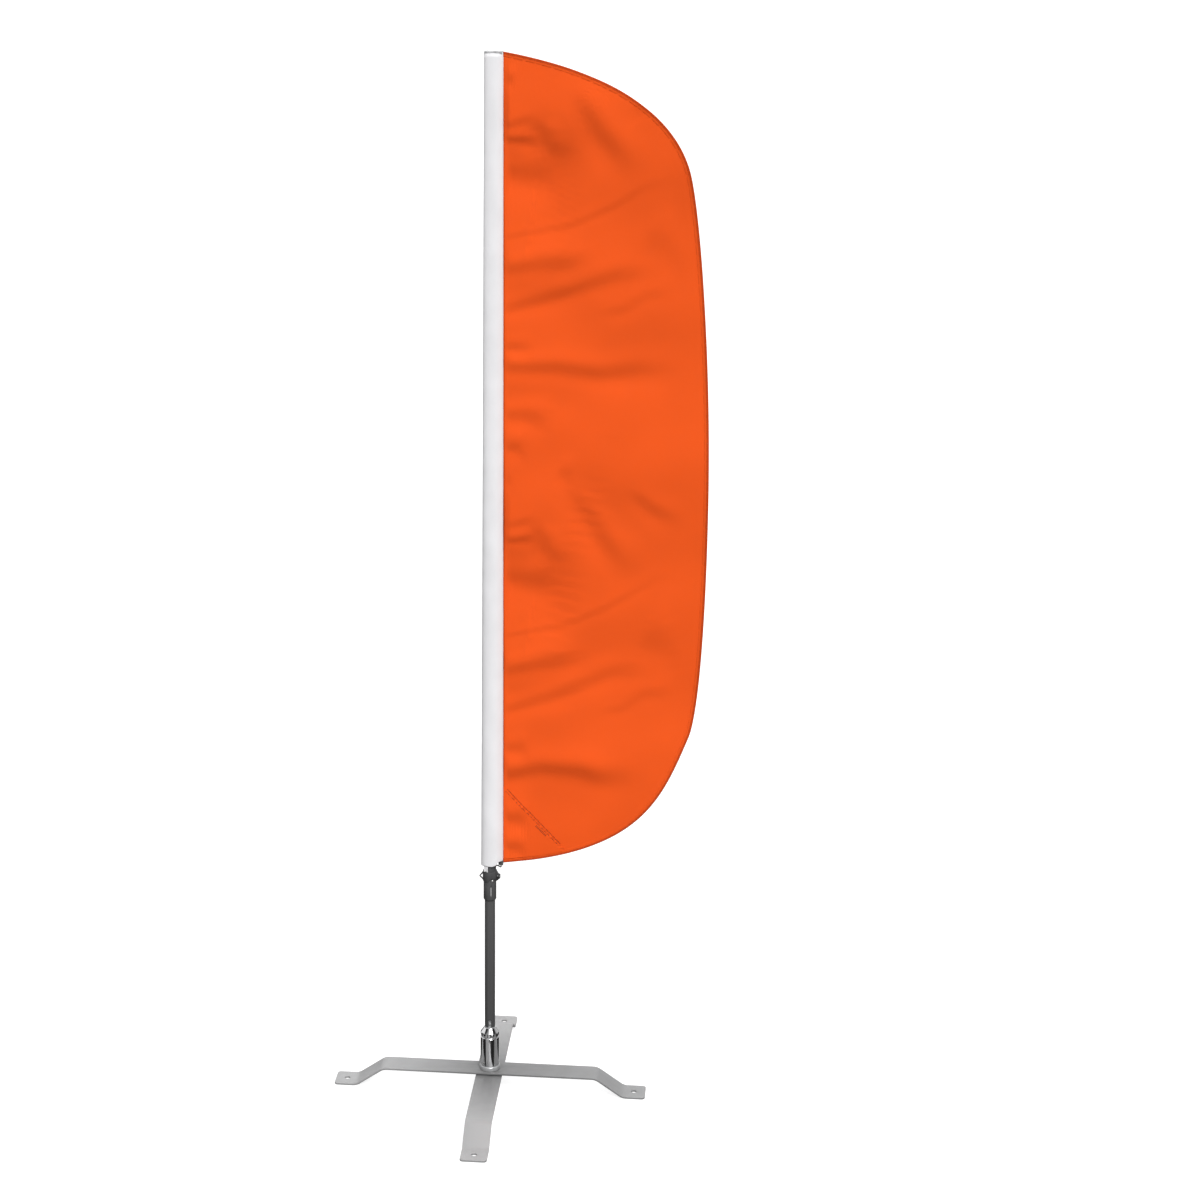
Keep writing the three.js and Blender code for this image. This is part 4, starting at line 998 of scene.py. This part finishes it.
def fold_samples():
    """Each fold as points with a normal that leans up, a half width and a depth."""
    rows = []
    for line, half_width, share in FOLDS:
        line = np.array(line, float)
        count = max(6, int(distances(line)[-1] / 6))
        dense = even_points(line, count)
        kernel = np.array([1, 2, 3, 2, 1]) / 9
        for k in (0, 1):
            padded = np.pad(dense[:, k], 2, mode="reflect", reflect_type="odd")
            dense[:, k] = np.convolve(padded, kernel, mode="valid")
        along = unit_rows(np.gradient(dense, axis=0))
        normal = np.stack([-along[:, 1], along[:, 0]], 1)
        flip = np.sign(normal @ np.array([0.35, 0.94]))
        normal *= np.where(flip == 0, 1, flip)[:, None]
        t = np.linspace(0, 1, count)
        fade = ease((1 - t) / 0.45)
        if line[0][0] > 60:
            fade = fade * ease(t / 0.3)
        soft = half_width * 1.55 if half_width <= 16 else half_width
        rows.append((dense, normal, soft * (0.75 + 0.5 * t), share * fade))
    return rows


FOLD_ROWS = fold_samples()


def swell(x, z):
    """How far the cloth stands off its flat plane, in millimetres, positive towards the front."""
    x, z = np.asarray(x, float), np.asarray(z, float) - PANEL_FOOT
    off = np.zeros_like(x)
    for dense, normal, half_width, share in FOLD_ROWS:
        reach = half_width.max() * 4
        near = ((x > dense[:, 0].min() - reach) & (x < dense[:, 0].max() + reach)
                & (z > dense[:, 1].min() - reach) & (z < dense[:, 1].max() + reach))
        if not near.any():
            continue
        p = np.stack([x[near], z[near]], 1)
        gap = p[:, None, :] - dense[None, :, :]
        far = (gap ** 2).sum(2)
        k = far.argmin(1)
        across = (gap[np.arange(len(p)), k] * normal[k]).sum(1)
        width = half_width[k]
        body = share[k] * width * FOLD_SLOPE * (across / width)
        off[near] += body * np.exp(-far[np.arange(len(p)), k] / (2 * width ** 2))
    # Puckers along the corner's double row of stitches.
    along, across = from_corner_row(x, z + CORNER_ROW[0][1] - 187.8)
    gather = 0.3 * np.sin(along * TURN / 19 + 1.6 * np.sin(along * TURN / 41))
    off += gather * np.exp(-(across / 6.5) ** 2) * ease(along / 20 + 0.2) * ease((205 - along) / 20)
    share = (x - SEAM_BOTTOM) / (FREE_EDGE_REACH - SEAM_BOTTOM)
    off += 5.0 * ease(share * 1.3) * np.sin(z / 1908 * TURN * 2.3 + 0.8)
    off += 2.4 * ease(share * 2) * np.sin(z / 1908 * TURN * 5.1 + share * 2.5 + 2.0)
    off += 1.1 * ease(share * 4) * np.sin(z / 1908 * TURN * 11.3 - share * 5 + 0.4) * (1 - 0.6 * share)
    depth = bpy.context.scene.flagpole_cloth.fold_depth
    return off * depth * ease((x - seam_x(z + PANEL_FOOT)) / 16)


def on_flag(x, z, proud=0.0):
    """Points in metres on the swelled cloth, proud millimetres in front of its middle."""
    x, z = np.asarray(x, float), np.asarray(z, float)
    y = -(swell(x, z) + proud)
    return np.stack([MAST_X + x * MM, y * MM, z * MM], -1)


def stitches(name, rows, length, thickness=0.35, sides=6):
    """One mesh of short threads laid along rows of points in metres, each row with its outward direction."""
    profile = [(-0.36, 0.35, -0.5), (-0.22, 0.9, 0.1), (0, 1.0, 0.35), (0.22, 0.9, 0.1), (0.36, 0.35, -0.5)]
    points, faces = [], []
    for line, out in rows:
        line = np.asarray(line, float)
        travelled = distances(line)
        count = int(travelled[-1] / length)
        for i in range(count):
            ends = [(i + 0.5 + part) * length for part in (-0.4, 0, 0.4)]
            a, m, b = (np.array([np.interp(e, travelled, line[:, k]) for k in range(3)]) for e in ends)
            along = (b - a) / np.linalg.norm(b - a)
            up = np.array(out, float)
            up = up - along * (up @ along)
            up /= np.linalg.norm(up)
            side = np.cross(along, up)
            base = len(points)
            for shift, share, lift in profile:
                for k in range(sides):
                    t = TURN * k / sides
                    ring = side * math.cos(t) + up * math.sin(t) * 0.8
                    points.append(m + along * shift * length + up * lift * thickness * MM
                                  + ring * share * thickness * MM)
            for r in range(len(profile) - 1):
                for k in range(sides):
                    d = (k + 1) % sides
                    faces.append((base + r * sides + k, base + r * sides + d,
                                  base + (r + 1) * sides + d, base + (r + 1) * sides + k))
            faces.append(tuple(base + k for k in range(sides))[::-1])
            faces.append(tuple(base + (len(profile) - 1) * sides + k for k in range(sides)))
    piece = skin(name, points, faces)
    edit_whole(piece, bpy.ops.mesh.normals_make_consistent, inside=False)
    return piece


def inset_line(points, distance):
    """The free edge moved in towards the cloth."""
    along = unit_rows(np.gradient(points, axis=0))
    return np.stack([points[:, 0] - along[:, 1] * distance, points[:, 1] + along[:, 0] * distance], 1)


def panel_mesh():
    """Rows of points that fan from the seam out to the free edge."""
    rows, columns = 420, 76
    edge, _ = free_edge(rows)
    edge = inset_line(edge, 1.2)
    height = np.clip((edge[:, 1] - PANEL_FOOT) / FLAG_HEIGHT, 0, 1)
    share = np.linspace(0, 1, rows)
    blend = 0.55 * height + 0.45 * share
    seam_z = PANEL_FOOT + 1.0 + np.maximum.accumulate(blend) * (FLAG_HEIGHT - 2.0)
    t = np.linspace(0, 1, columns)
    start = np.stack([seam_x(seam_z) + 0.4, seam_z], 1)
    flat = start[:, None, :] * (1 - t)[None, :, None] + edge[:, None, :] * t[None, :, None]
    flat[:, :, 0] = np.maximum(flat[:, :, 0], seam_x(flat[:, :, 1]) + 0.4)
    x, z = flat[:, :, 0].ravel(), flat[:, :, 1].ravel()
    place = np.stack([x * MM, np.zeros_like(x), z * MM], 1)
    return on_flag(x, z), grid_faces(rows, columns), place


class FLAGPOLE_OT_flag(bpy.types.Operator):
    """Makes the flag panel, its turned hem, the corner patch and their stitching"""
    bl_idname = "flagpole.flag"
    bl_label = "Flag"

    def execute(self, context):
        settings = context.scene.flagpole_cloth
        colour, spacing = settings.panel_colour, settings.stitch_length
        cloth, hem_finish = flag_cloth(colour), hem_cloth(colour)
        thread = sewing_thread("orange_thread", tuple(c * 0.5 for c in colour))
        panel = self.panel(cloth)
        edge, edge_length = free_edge(620)
        inward = inset_line(edge, 1.0) - edge
        hem = self.hem(edge, inward, edge_length, hem_finish)
        threads = self.hem_threads(edge + inward * HEM_ROW, spacing, thread)
        patch = self.patch(cloth)
        dark = sewing_thread("dark_orange_thread", tuple(c * 0.16 for c in colour))
        bar_tack = self.corner_threads(spacing * 1.1, dark)
        return {"FINISHED"}

    def panel(self, cloth):
        """The single layer of orange cloth."""
        points, faces, place = panel_mesh()
        piece = skin("flag_cloth_panel", points, faces, place)
        apply_modifier(piece, "SOLIDIFY", thickness=0.5 * MM, offset=0)
        edit_whole(piece, bpy.ops.mesh.dissolve_degenerate, threshold=1e-6)
        return settle(piece, "mast", ["flag_panel"], cloth)

    def hem(self, edge, inward, edge_length, finish):
        """The edge turned round the cloth, with small puckers along it."""
        stations = len(edge)
        travelled = np.linspace(0, edge_length, stations)
        # How deep each line of the front layer lies from the edge, and how far it stands off the cloth.
        front = [(10.8, 0.26), (9.8, 0.38), (8.2, 0.56), (6.4, 0.74), (HEM_ROW, 0.6), (3.6, 0.9), (2.0, 1.2),
                 (0.8, 1.1), (0.15, 0.6)]
        section = front + [(0, 0)] + [(depth, -proud) for depth, proud in reversed(front)]
        pucker = 0.22 * np.sin(travelled * TURN / 13) + 0.16 * np.sin(travelled * TURN / 31 + 1)
        rows, places = [], []
        for depth, proud in section:
            line = edge + inward * depth
            line[:, 0] = np.maximum(line[:, 0], seam_x(line[:, 1]) + 0.2)
            rows.append(on_flag(line[:, 0], line[:, 1], proud + pucker * min(1, depth / 4)))
            across = [np.full(stations, value * MM) for value in (proud, depth)]
            places.append(np.stack([travelled * MM, *across], 1))
        piece = skin("turned_edge_hem", np.concatenate(rows), grid_faces(len(section), stations),
                     np.concatenate(places))
        apply_modifier(piece, "SOLIDIFY", thickness=0.22 * MM, offset=0)
        return settle(piece, "mast", ["flag_hem"], finish)

    def hem_threads(self, line, spacing, thread):
        """Stitches on both faces, along the hem and beside the sleeve's seam."""
        row = line[line[:, 0] > seam_x(line[:, 1]) + 4]
        seam_z = np.linspace(PANEL_FOOT + 4, FLAG_TOP - 8, 500)
        rows = []
        for x, z, proud in ((row[:, 0], row[:, 1], 0.85), (seam_x(seam_z) + 1.7, seam_z, 0.5)):
            rows += [(on_flag(x, z, proud * face), (0, -face, 0)) for face in (1, -1)]
        piece = stitches("hem_stitching", rows, spacing, thickness=0.45)
        return settle(piece, "mast", [], thread)

    def corner_threads(self, spacing, thread):
        """The double row across the corner, and the zigzag that ties it down."""
        rows = []
        (start_x, start_z), (end_x, end_z) = CORNER_ROW
        for shift in (-3.0, 3.0):
            t = np.linspace(0.02, 0.97, 90)
            x = start_x + (end_x - start_x) * t + shift * 0.72
            z = start_z + (end_z - start_z) * t + shift * 0.69
            rows += [(on_flag(x, z, 1.1), (0, -1, 0)), (on_flag(x, z, -0.35), (0, 1, 0))]
        for k in range(18):
            t = np.linspace(0, 1, 6)
            x = 108 + k * 1.4 + t * 6.0
            z = 691 - k * 1.4 + t * 7.0 * (1 if k % 2 else -1)
            rows.append((on_flag(x, z, 1.3), (0, -1, 0)))
        piece = stitches("corner_stitching", rows, spacing, thickness=0.7)
        return settle(piece, "mast", [], thread)

    def patch(self, cloth):
        """A second layer in the lower corner, with its long side turned under."""
        rows, columns = 104, 84
        left_x, top = seam_x(PANEL_FOOT) + 0.8, 787.0
        edge, _ = free_edge(900)
        edge = inset_line(edge, 8.5)
        s, t = np.meshgrid(np.linspace(0, 1, rows), np.linspace(0, 1, columns), indexing="ij")
        along = left_x + (181 - left_x) * t
        foot = np.interp(along, edge[:300, 0], edge[:300, 1])
        last = np.interp(181, edge[:300, 0], edge[:300, 1]) + 1.2
        x, z = along, foot + (top + (last - top) * t - foot) * s
        along, across = from_corner_row(x, z)
        proud = 1.0 + 0.25 * np.exp(-((1 - s) / 0.03) ** 2)
        for row, phase in ((3.0, 0.0), (-3.0, 2.0)):
            dimple = np.sin(along * TURN / 12.4 + phase + 1.3 * np.sin(along * TURN / 47))
            proud += (0.8 * dimple - 0.1) * np.exp(-((across - row) / 2.3) ** 2) * ease(along / 30)
        points = on_flag(x.ravel(), z.ravel(), proud.ravel())
        place = np.stack([x.ravel() * MM, np.zeros(x.size), z.ravel() * MM], 1)
        piece = skin("corner_patch_layer", points, grid_faces(rows, columns), place)
        apply_modifier(piece, "SOLIDIFY", thickness=0.4 * MM, offset=0)
        return settle(piece, "mast", ["corner_patch"], cloth)


# ---------------------------------------------------------------- sleeve
def sleeve_section(count):
    """The sleeve's section in unit width and depth, from front lip round the fold to back lip."""
    front = [[(1.0, 0.05), (0.84, 0.38), (0.68, 0.5), (0.48, 0.5)],
             [(0.48, 0.5), (0.22, 0.5), (0, 0.3), (0, 0)]]
    points = curve_points(front, 80)
    return even_points(np.concatenate([points, (points * (1, -1))[::-1][1:]]), count)


SLEEVE_COLUMNS = 61
SLEEVE_DEPTH_FOOT, SLEEVE_DEPTH_TOP = 36.0, 17.0
CLOSED_DEPTH, CLOSING_HEIGHT = 11, 12  # where the sleeve is sewn shut at its top


def sleeve_shape():
    """Heights up the sleeve, with its folded edge, its width and its depth at each."""
    z = np.unique(np.concatenate([np.linspace(SLEEVE_FOOT, SLEEVE_FOOT + 40, 22),
                                  np.linspace(SLEEVE_FOOT + 40, FLAG_TOP - 16, 290),
                                  np.linspace(FLAG_TOP - 16, FLAG_TOP, 14)]))
    share = (z - SLEEVE_FOOT) / (FLAG_TOP - SLEEVE_FOOT)
    fold = FOLD_BOTTOM + (FOLD_TOP - FOLD_BOTTOM) * share
    depth = SLEEVE_DEPTH_FOOT + (SLEEVE_DEPTH_TOP - SLEEVE_DEPTH_FOOT) * share
    depth = CLOSED_DEPTH + (depth - CLOSED_DEPTH) * ease((FLAG_TOP - z) / CLOSING_HEIGHT)
    return z, fold, seam_x(z) - fold, depth


class FLAGPOLE_OT_sleeve(bpy.types.Operator):
    """Makes the white sleeve with its tab, lining tail, top tape and stitching"""
    bl_idname = "flagpole.sleeve"
    bl_label = "Sleeve"

    def execute(self, context):
        settings = context.scene.flagpole_cloth
        white = sleeve_cloth(settings.sleeve_colour)
        sleeve = self.cloth(white)
        seam = self.seam(settings.stitch_length)
        tail = self.tail(white)
        tab, tape = self.tab(), self.tape()
        return {"FINISHED"}

    def cloth(self, white):
        """The pocket round the poles, cut away towards the seam at its foot."""
        section = sleeve_section(SLEEVE_COLUMNS)
        z, fold, width, depth = (values[:, None] for values in sleeve_shape())
        unit_x, unit_y = section[:, 0][None, :], section[:, 1][None, :]
        ripple = 0.35 * np.sin(z * TURN / 61)
        soft = 0.5 * np.sin(z * TURN / 173 + unit_x * 4) + 0.32 * np.sin(z * TURN / 67 - unit_x * 7)
        x = fold + unit_x * width
        y = -unit_y * (depth + soft * 1.1 * np.minimum(1, (1 - unit_x) * 4)) + ripple * 0.3
        lip = ease(1 - (z - SLEEVE_FOOT) / 34)
        rise = 3.0 * ease((unit_x - 0.5) / 0.2) + 9.0 * ease((unit_x - 0.68) / 0.14)
        rise = rise + 0.6 * np.sin(unit_x * 5.0)
        height = z + lip * np.maximum(rise, 0)
        points = np.stack([MAST_X + x * MM, y * MM, height * MM], -1).reshape(-1, 3)
        run = np.broadcast_to(distances(section * (48, 26)) * MM, x.shape)
        place = np.stack([run, np.zeros(x.shape), height * MM], -1).reshape(-1, 3)
        piece = skin("pole_sleeve_cloth", points, grid_faces(*x.shape), place)
        edit_whole(piece, bpy.ops.mesh.normals_make_consistent, inside=False)
        apply_modifier(piece, "SOLIDIFY", thickness=0.7 * MM, offset=-1)
        return settle(piece, "mast", ["flag_sleeve"], white)

    def seam(self, spacing):
        """Stitches down both faces, beside the seam."""
        half = sleeve_section(SLEEVE_COLUMNS)[:SLEEVE_COLUMNS // 2]
        z, fold, width, depth = sleeve_shape()
        row_z = np.linspace(SLEEVE_FOOT + 18, FLAG_TOP - 12, 300)
        row_x = seam_x(row_z) - 2.2
        unit = (row_x - np.interp(row_z, z, fold)) / np.interp(row_z, z, width)
        off = np.interp(-unit, -half[:, 0], half[:, 1]) * np.interp(row_z, z, depth) + 0.1
        rows = [(np.stack([MAST_X + row_x * MM, -face * off * MM, row_z * MM], 1), (0, -face, 0))
                for face in (1, -1)]
        piece = stitches("sleeve_stitching", rows, spacing)
        return settle(piece, "mast", [], sewing_thread("white_thread", (0.62, 0.62, 0.64)))

    def tail(self, white):
        """The lining's end, which hangs out of the sleeve's foot over the neck."""
        lo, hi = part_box("sleeve_tail")
        rows, columns = 20, 14
        t, s = np.meshgrid(np.linspace(0, 1, rows), np.linspace(0, 1, columns), indexing="ij")
        left, right = mm(lo.x - MAST_X), mm(hi.x - MAST_X)
        foot, top = mm(lo.z), mm(hi.z) + 9
        x = left + (right - left) * (s * (1 - 0.12 * (1 - t)) + 0.03 * (1 - t))
        z = foot + (top - foot) * t + 1.6 * (1 - t) * np.sin(s * 3.0)
        y = -(12.2 + 4.0 * ease((x - left) / (right - left)) + 0.4 * np.sin(s * 9 + t * 2) * (1 - t))
        points = np.stack([MAST_X + x * MM, y * MM, z * MM], -1).reshape(-1, 3)
        piece = skin("lining_tail", points, grid_faces(rows, columns), points)
        apply_modifier(piece, "SOLIDIFY", thickness=0.8 * MM, offset=0)
        return settle(piece, "mast", ["sleeve_tail"], white)

    def tab(self):
        """The folded webbing tab at the flag's lower corner."""
        lo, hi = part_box("sleeve_tab")
        hi.z += 0.0085
        clear_selection()
        centre, size = (lo + hi) / 2, hi - lo
        bpy.ops.mesh.primitive_cube_add(size=1, location=centre, scale=size)
        piece = bpy.context.object
        piece.name = "corner_webbing_tab"
        bpy.ops.object.transform_apply(location=True, rotation=True, scale=True)
        edit_whole(piece, bpy.ops.mesh.subdivide, number_cuts=3)
        pick(piece, lambda co: abs(co.z - lo.z) < 1e-5)
        bpy.ops.transform.resize(value=(0.9, 0.6, 1), center_override=centre)
        bpy.ops.object.mode_set(mode="OBJECT")
        soften(piece, 0.2 * MM, segments=2)
        return settle(piece, "mast", ["sleeve_tab"], webbing())

    def tape(self):
        """The tape folded over the sleeve's sewn top."""
        lo, hi = TAPE
        half, rise = 6.4, mm(hi.z)
        foot = rise - 3.6
        outline = [(-half, foot), (-half, rise - 1.1), (-half * 0.86, rise - 0.35), (0, rise - 0.1),
                   (half * 0.86, rise - 0.35), (half, rise - 1.1), (half, foot)]
        left, right = lo.x, hi.x
        piece = chain("sleeve_end_tape", [(left, y * MM, z * MM) for y, z in outline])
        for _ in range(14):
            step = ((right - left) / 14, 0, 0)
            bpy.ops.mesh.extrude_edges_move(TRANSFORM_OT_translate={"value": step})
        close_up(piece)
        for vertex in piece.data.vertices:
            x = (vertex.co.x - left) / (right - left)
            vertex.co.y += 0.35 * MM * math.sin(x * 17)
        apply_modifier(piece, "SOLIDIFY", thickness=0.7 * MM, offset=-1)
        soften(piece, 0.2 * MM, segments=1)
        return settle(piece, "mast", ["sleeve_top_tape"], grey_tape())


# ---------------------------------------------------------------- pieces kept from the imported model
KEPT = {
    "zinc": ["pivot_washer", "centre_bolt", "bolt_lock_washer", "spindle", "drive_pin"],
    "steel": ["lower_bearing_outer_race", "lower_bearing_inner_race", "upper_bearing_outer_race",
              "upper_bearing_inner_race", "housing_clip", "spindle_clip", "button_spring"],
    "brass": ["lower_bearing_ball_cage", "upper_bearing_ball_cage"],
    "aluminium": ["bearing_spacer", "pole_joint_ferrule"],
    "rubber": ["spindle_o_ring", "dust_seal", "pole_tip_cap"],
    "nylon": ["pole_foot_bush"],
    "fibreglass": ["middle_pole", "top_pole"],
}


class FLAGPOLE_OT_inner(bpy.types.Operator):
    """Gives the bolt, bearings, spindle and inner poles their finishes"""
    bl_idname = "flagpole.inner"
    bl_label = "Inner pieces"

    def execute(self, context):
        found = bpy.data.materials
        finishes = {"zinc": found["bright_zinc_plate"], "steel": ground_steel(), "brass": brass(),
                    "aluminium": aluminium_tube(), "rubber": black_rubber(),
                    "nylon": found["moulded_black_nylon"], "fibreglass": fibreglass()}
        for finish, names in KEPT.items():
            for name in names:
                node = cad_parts[name]
                node.data.materials.clear()
                node.data.materials.append(finishes[finish])
        return {"FINISHED"}


# ---------------------------------------------------------------- stage
CAMERA_BEARING, CAMERA_PITCH = 6.0, 17.59  # degrees, from the front and down
CAMERA_AWAY, CAMERA_HEIGHT = 6.172, 3.2045  # metres, from the mast axis and above the floor
CAMERA_SHIFT = 0.0917


class FLAGPOLE_OT_stage(bpy.types.Operator):
    """Sets up the camera, the white floor and the soft light"""
    bl_idname = "flagpole.stage"
    bl_label = "Stage"

    def execute(self, context):
        settings = context.scene.flagpole_stage
        scene = context.scene
        scene.view_settings.view_transform = "Standard"
        scene.view_settings.look = "None"
        self.camera(scene, settings.lens)
        self.floor(settings.floor_glow)
        self.sun("key", settings.key_power, 22, (0.27, -0.62, 0.76))
        rear = self.sun("back_fill", settings.back_power, 40, (-0.05, 0.85, 0.45))
        rear.visible_glossy = False
        self.world(scene)
        return {"FINISHED"}

    def camera(self, scene, lens):
        turn, pitch = math.radians(CAMERA_BEARING), math.radians(CAMERA_PITCH)
        camera = bpy.data.objects.new("camera", bpy.data.cameras.new("camera"))
        scene.collection.objects.link(camera)
        camera.location = (MAST_X + math.sin(turn) * CAMERA_AWAY, -math.cos(turn) * CAMERA_AWAY,
                           CAMERA_HEIGHT)
        camera.rotation_euler = (math.pi / 2 - pitch, 0, turn)
        camera.data.lens = lens
        camera.data.sensor_width = 36
        camera.data.shift_x = CAMERA_SHIFT
        camera.data.clip_end = 400
        scene.camera = camera

    def floor(self, glow):
        """A white floor that takes shadows and lights nothing itself."""
        clear_selection()
        bpy.ops.mesh.primitive_plane_add(size=120, location=(0, 0, -0.0004))
        floor = bpy.context.object
        floor.name = "studio_floor"
        surface = bpy.data.materials.new("studio_floor")
        surface.use_nodes = True
        inputs = surface.node_tree.nodes["Principled BSDF"].inputs
        for name, value in (("Base Color", (0.30, 0.30, 0.30, 1)), ("Roughness", 0.9),
                            ("Specular IOR Level", 0.0), ("Emission Color", (1, 1, 1, 1)),
                            ("Emission Strength", glow)):
            inputs[name].default_value = value
        floor.data.materials.append(surface)
        floor.visible_glossy = False
        floor.visible_diffuse = False

    def sun(self, name, power, angle, towards):
        """A soft sun that shines from a direction, as wide as an angle in degrees."""
        light = bpy.data.lights.new(name, "SUN")
        light.energy = power
        light.angle = math.radians(angle)
        lamp = bpy.data.objects.new(name, light)
        bpy.context.scene.collection.objects.link(lamp)
        lamp.rotation_euler = Vector(towards).to_track_quat("Z", "Y").to_euler()
        return lamp

    def world(self, scene):
        """Even white light, with softboxes and dark gaps between them for polished metal to mirror."""
        world = bpy.data.worlds.new("studio")
        scene.world = world
        world.use_nodes = True
        world.node_tree.nodes.clear()
        sky = Nodes(world.node_tree)
        split = sky.node("ShaderNodeSeparateXYZ")
        sky.link(sky.node("ShaderNodeTexCoord").outputs["Generated"], split.inputs[0])
        height, front = split.outputs["Z"], sky.math("MULTIPLY", split.outputs["Y"], -1)
        bearing = sky.span(sky.math("ARCTAN2", split.outputs["X"], front), 0, 1, -math.pi, math.pi)

        def softboxes(bands):
            """A ring of levels by bearing in degrees, seen only in polished metal."""
            ramp = sky.node("ShaderNodeValToRGB")
            ramp.color_ramp.interpolation = "EASE"
            elements = ramp.color_ramp.elements
            while len(elements) > 1:
                elements.remove(elements[-1])
            elements[0].position = 0.0
            elements[0].color = (bands[0][1],) * 3 + (1,)
            for angle, level in bands[1:]:
                elements.new((angle + 180) / 360).color = (level, level, level, 1)
            sky.link(bearing, ramp.inputs["Fac"])
            return ramp.outputs["Color"]

        def blend(start, end, below, above):
            """One colour below a height of the sky and another above it."""
            made = sky.node("ShaderNodeMix", data_type="RGBA")
            for socket, source in ((0, sky.span(height, 0, 1, start, end)), (6, below), (7, above)):
                sky.link(source, made.inputs[socket])
            return made.outputs[2]

        def background(colour, strength=1.0):
            made = sky.node("ShaderNodeBackground")
            for socket, value in (("Color", colour), ("Strength", strength)):
                if isinstance(value, (tuple, float)):
                    made.inputs[socket].default_value = value
                else:
                    sky.link(value, made.inputs[socket])
            return made.outputs[0]

        def either(share, first, second):
            made = sky.node("ShaderNodeMixShader")
            for socket, source in enumerate((share, first, second)):
                sky.link(source, made.inputs[socket])
            return made.outputs[0]

        low = softboxes([(-180, 0.5), (-172, 0.3), (-160, 0.015), (-50, 0.015), (-38, 0.36), (-10, 0.36),
                         (-2, 0.13), (14, 0.13), (22, 0.02), (56, 0.02), (66, 0.25), (86, 0.25), (96, 0.015),
                         (146, 0.02), (156, 0.5), (180, 0.8)])
        high = softboxes([(-180, 0.9), (-84, 0.9), (-74, 0.02), (-26, 0.02), (-12, 0.95), (16, 0.95),
                          (26, 0.02), (92, 0.02), (104, 0.45), (180, 0.9)])
        overhead = sky.node("ShaderNodeRGB")
        overhead.outputs[0].default_value = (0.9, 0.9, 0.9, 1)
        mirrored = blend(0.72, 0.92, blend(0.02, 0.2, low, high), overhead.outputs[0])
        white = (1, 1, 1, 1)
        level = sky.math("MULTIPLY_ADD", height, 0.36, 0.42)
        level = sky.math("MULTIPLY_ADD", front, 0.13, level)
        rays = sky.node("ShaderNodeLightPath").outputs
        unseen = either(rays["Is Glossy Ray"], background(white, level), background(mirrored))
        whole = either(rays["Is Camera Ray"], unseen, background(white, 1.02))
        sky.link(whole, sky.node("ShaderNodeOutputWorld").inputs["Surface"])


# ---------------------------------------------------------------- panel and registration
STEPS = ["stage", "elastic", "base", "rotator", "mast", "collar", "sleeve", "flag", "inner"]


class FLAGPOLE_PT_sidebar(bpy.types.Panel):
    """Lists the steps that build the flag"""
    bl_idname = "FLAGPOLE_PT_sidebar"
    bl_label = "Feather Flag"
    bl_space_type = "VIEW_3D"
    bl_region_type = "UI"
    bl_category = "Feather Flag"

    def draw(self, context):
        scene = context.scene
        for group in (scene.flagpole_cloth, scene.flagpole_mast, scene.flagpole_base, scene.flagpole_stage):
            for key in group.__annotations__:
                self.layout.prop(group, key)
        for step in STEPS:
            self.layout.operator(f"flagpole.{step}")


CLASSES = [FlagClothSettings, MastSettings, BaseSettings, StageSettings,
           FLAGPOLE_OT_stage, FLAGPOLE_OT_elastic, FLAGPOLE_OT_base, FLAGPOLE_OT_rotator,
           FLAGPOLE_OT_mast, FLAGPOLE_OT_collar, FLAGPOLE_OT_sleeve,
           FLAGPOLE_OT_flag, FLAGPOLE_OT_inner, FLAGPOLE_PT_sidebar]
GROUPS = {"flagpole_cloth": FlagClothSettings, "flagpole_mast": MastSettings, "flagpole_base": BaseSettings,
          "flagpole_stage": StageSettings}


def register():
    for made in CLASSES:
        bpy.utils.register_class(made)
    for name, group in GROUPS.items():
        setattr(bpy.types.Scene, name, bpy.props.PointerProperty(type=group))


def unregister():
    for name in GROUPS:
        delattr(bpy.types.Scene, name)
    for made in reversed(CLASSES):
        bpy.utils.unregister_class(made)


def main():
    register()
    for step in STEPS:
        getattr(bpy.ops.flagpole, step)()
    clear_selection()


if __name__ == "__main__":
    main()
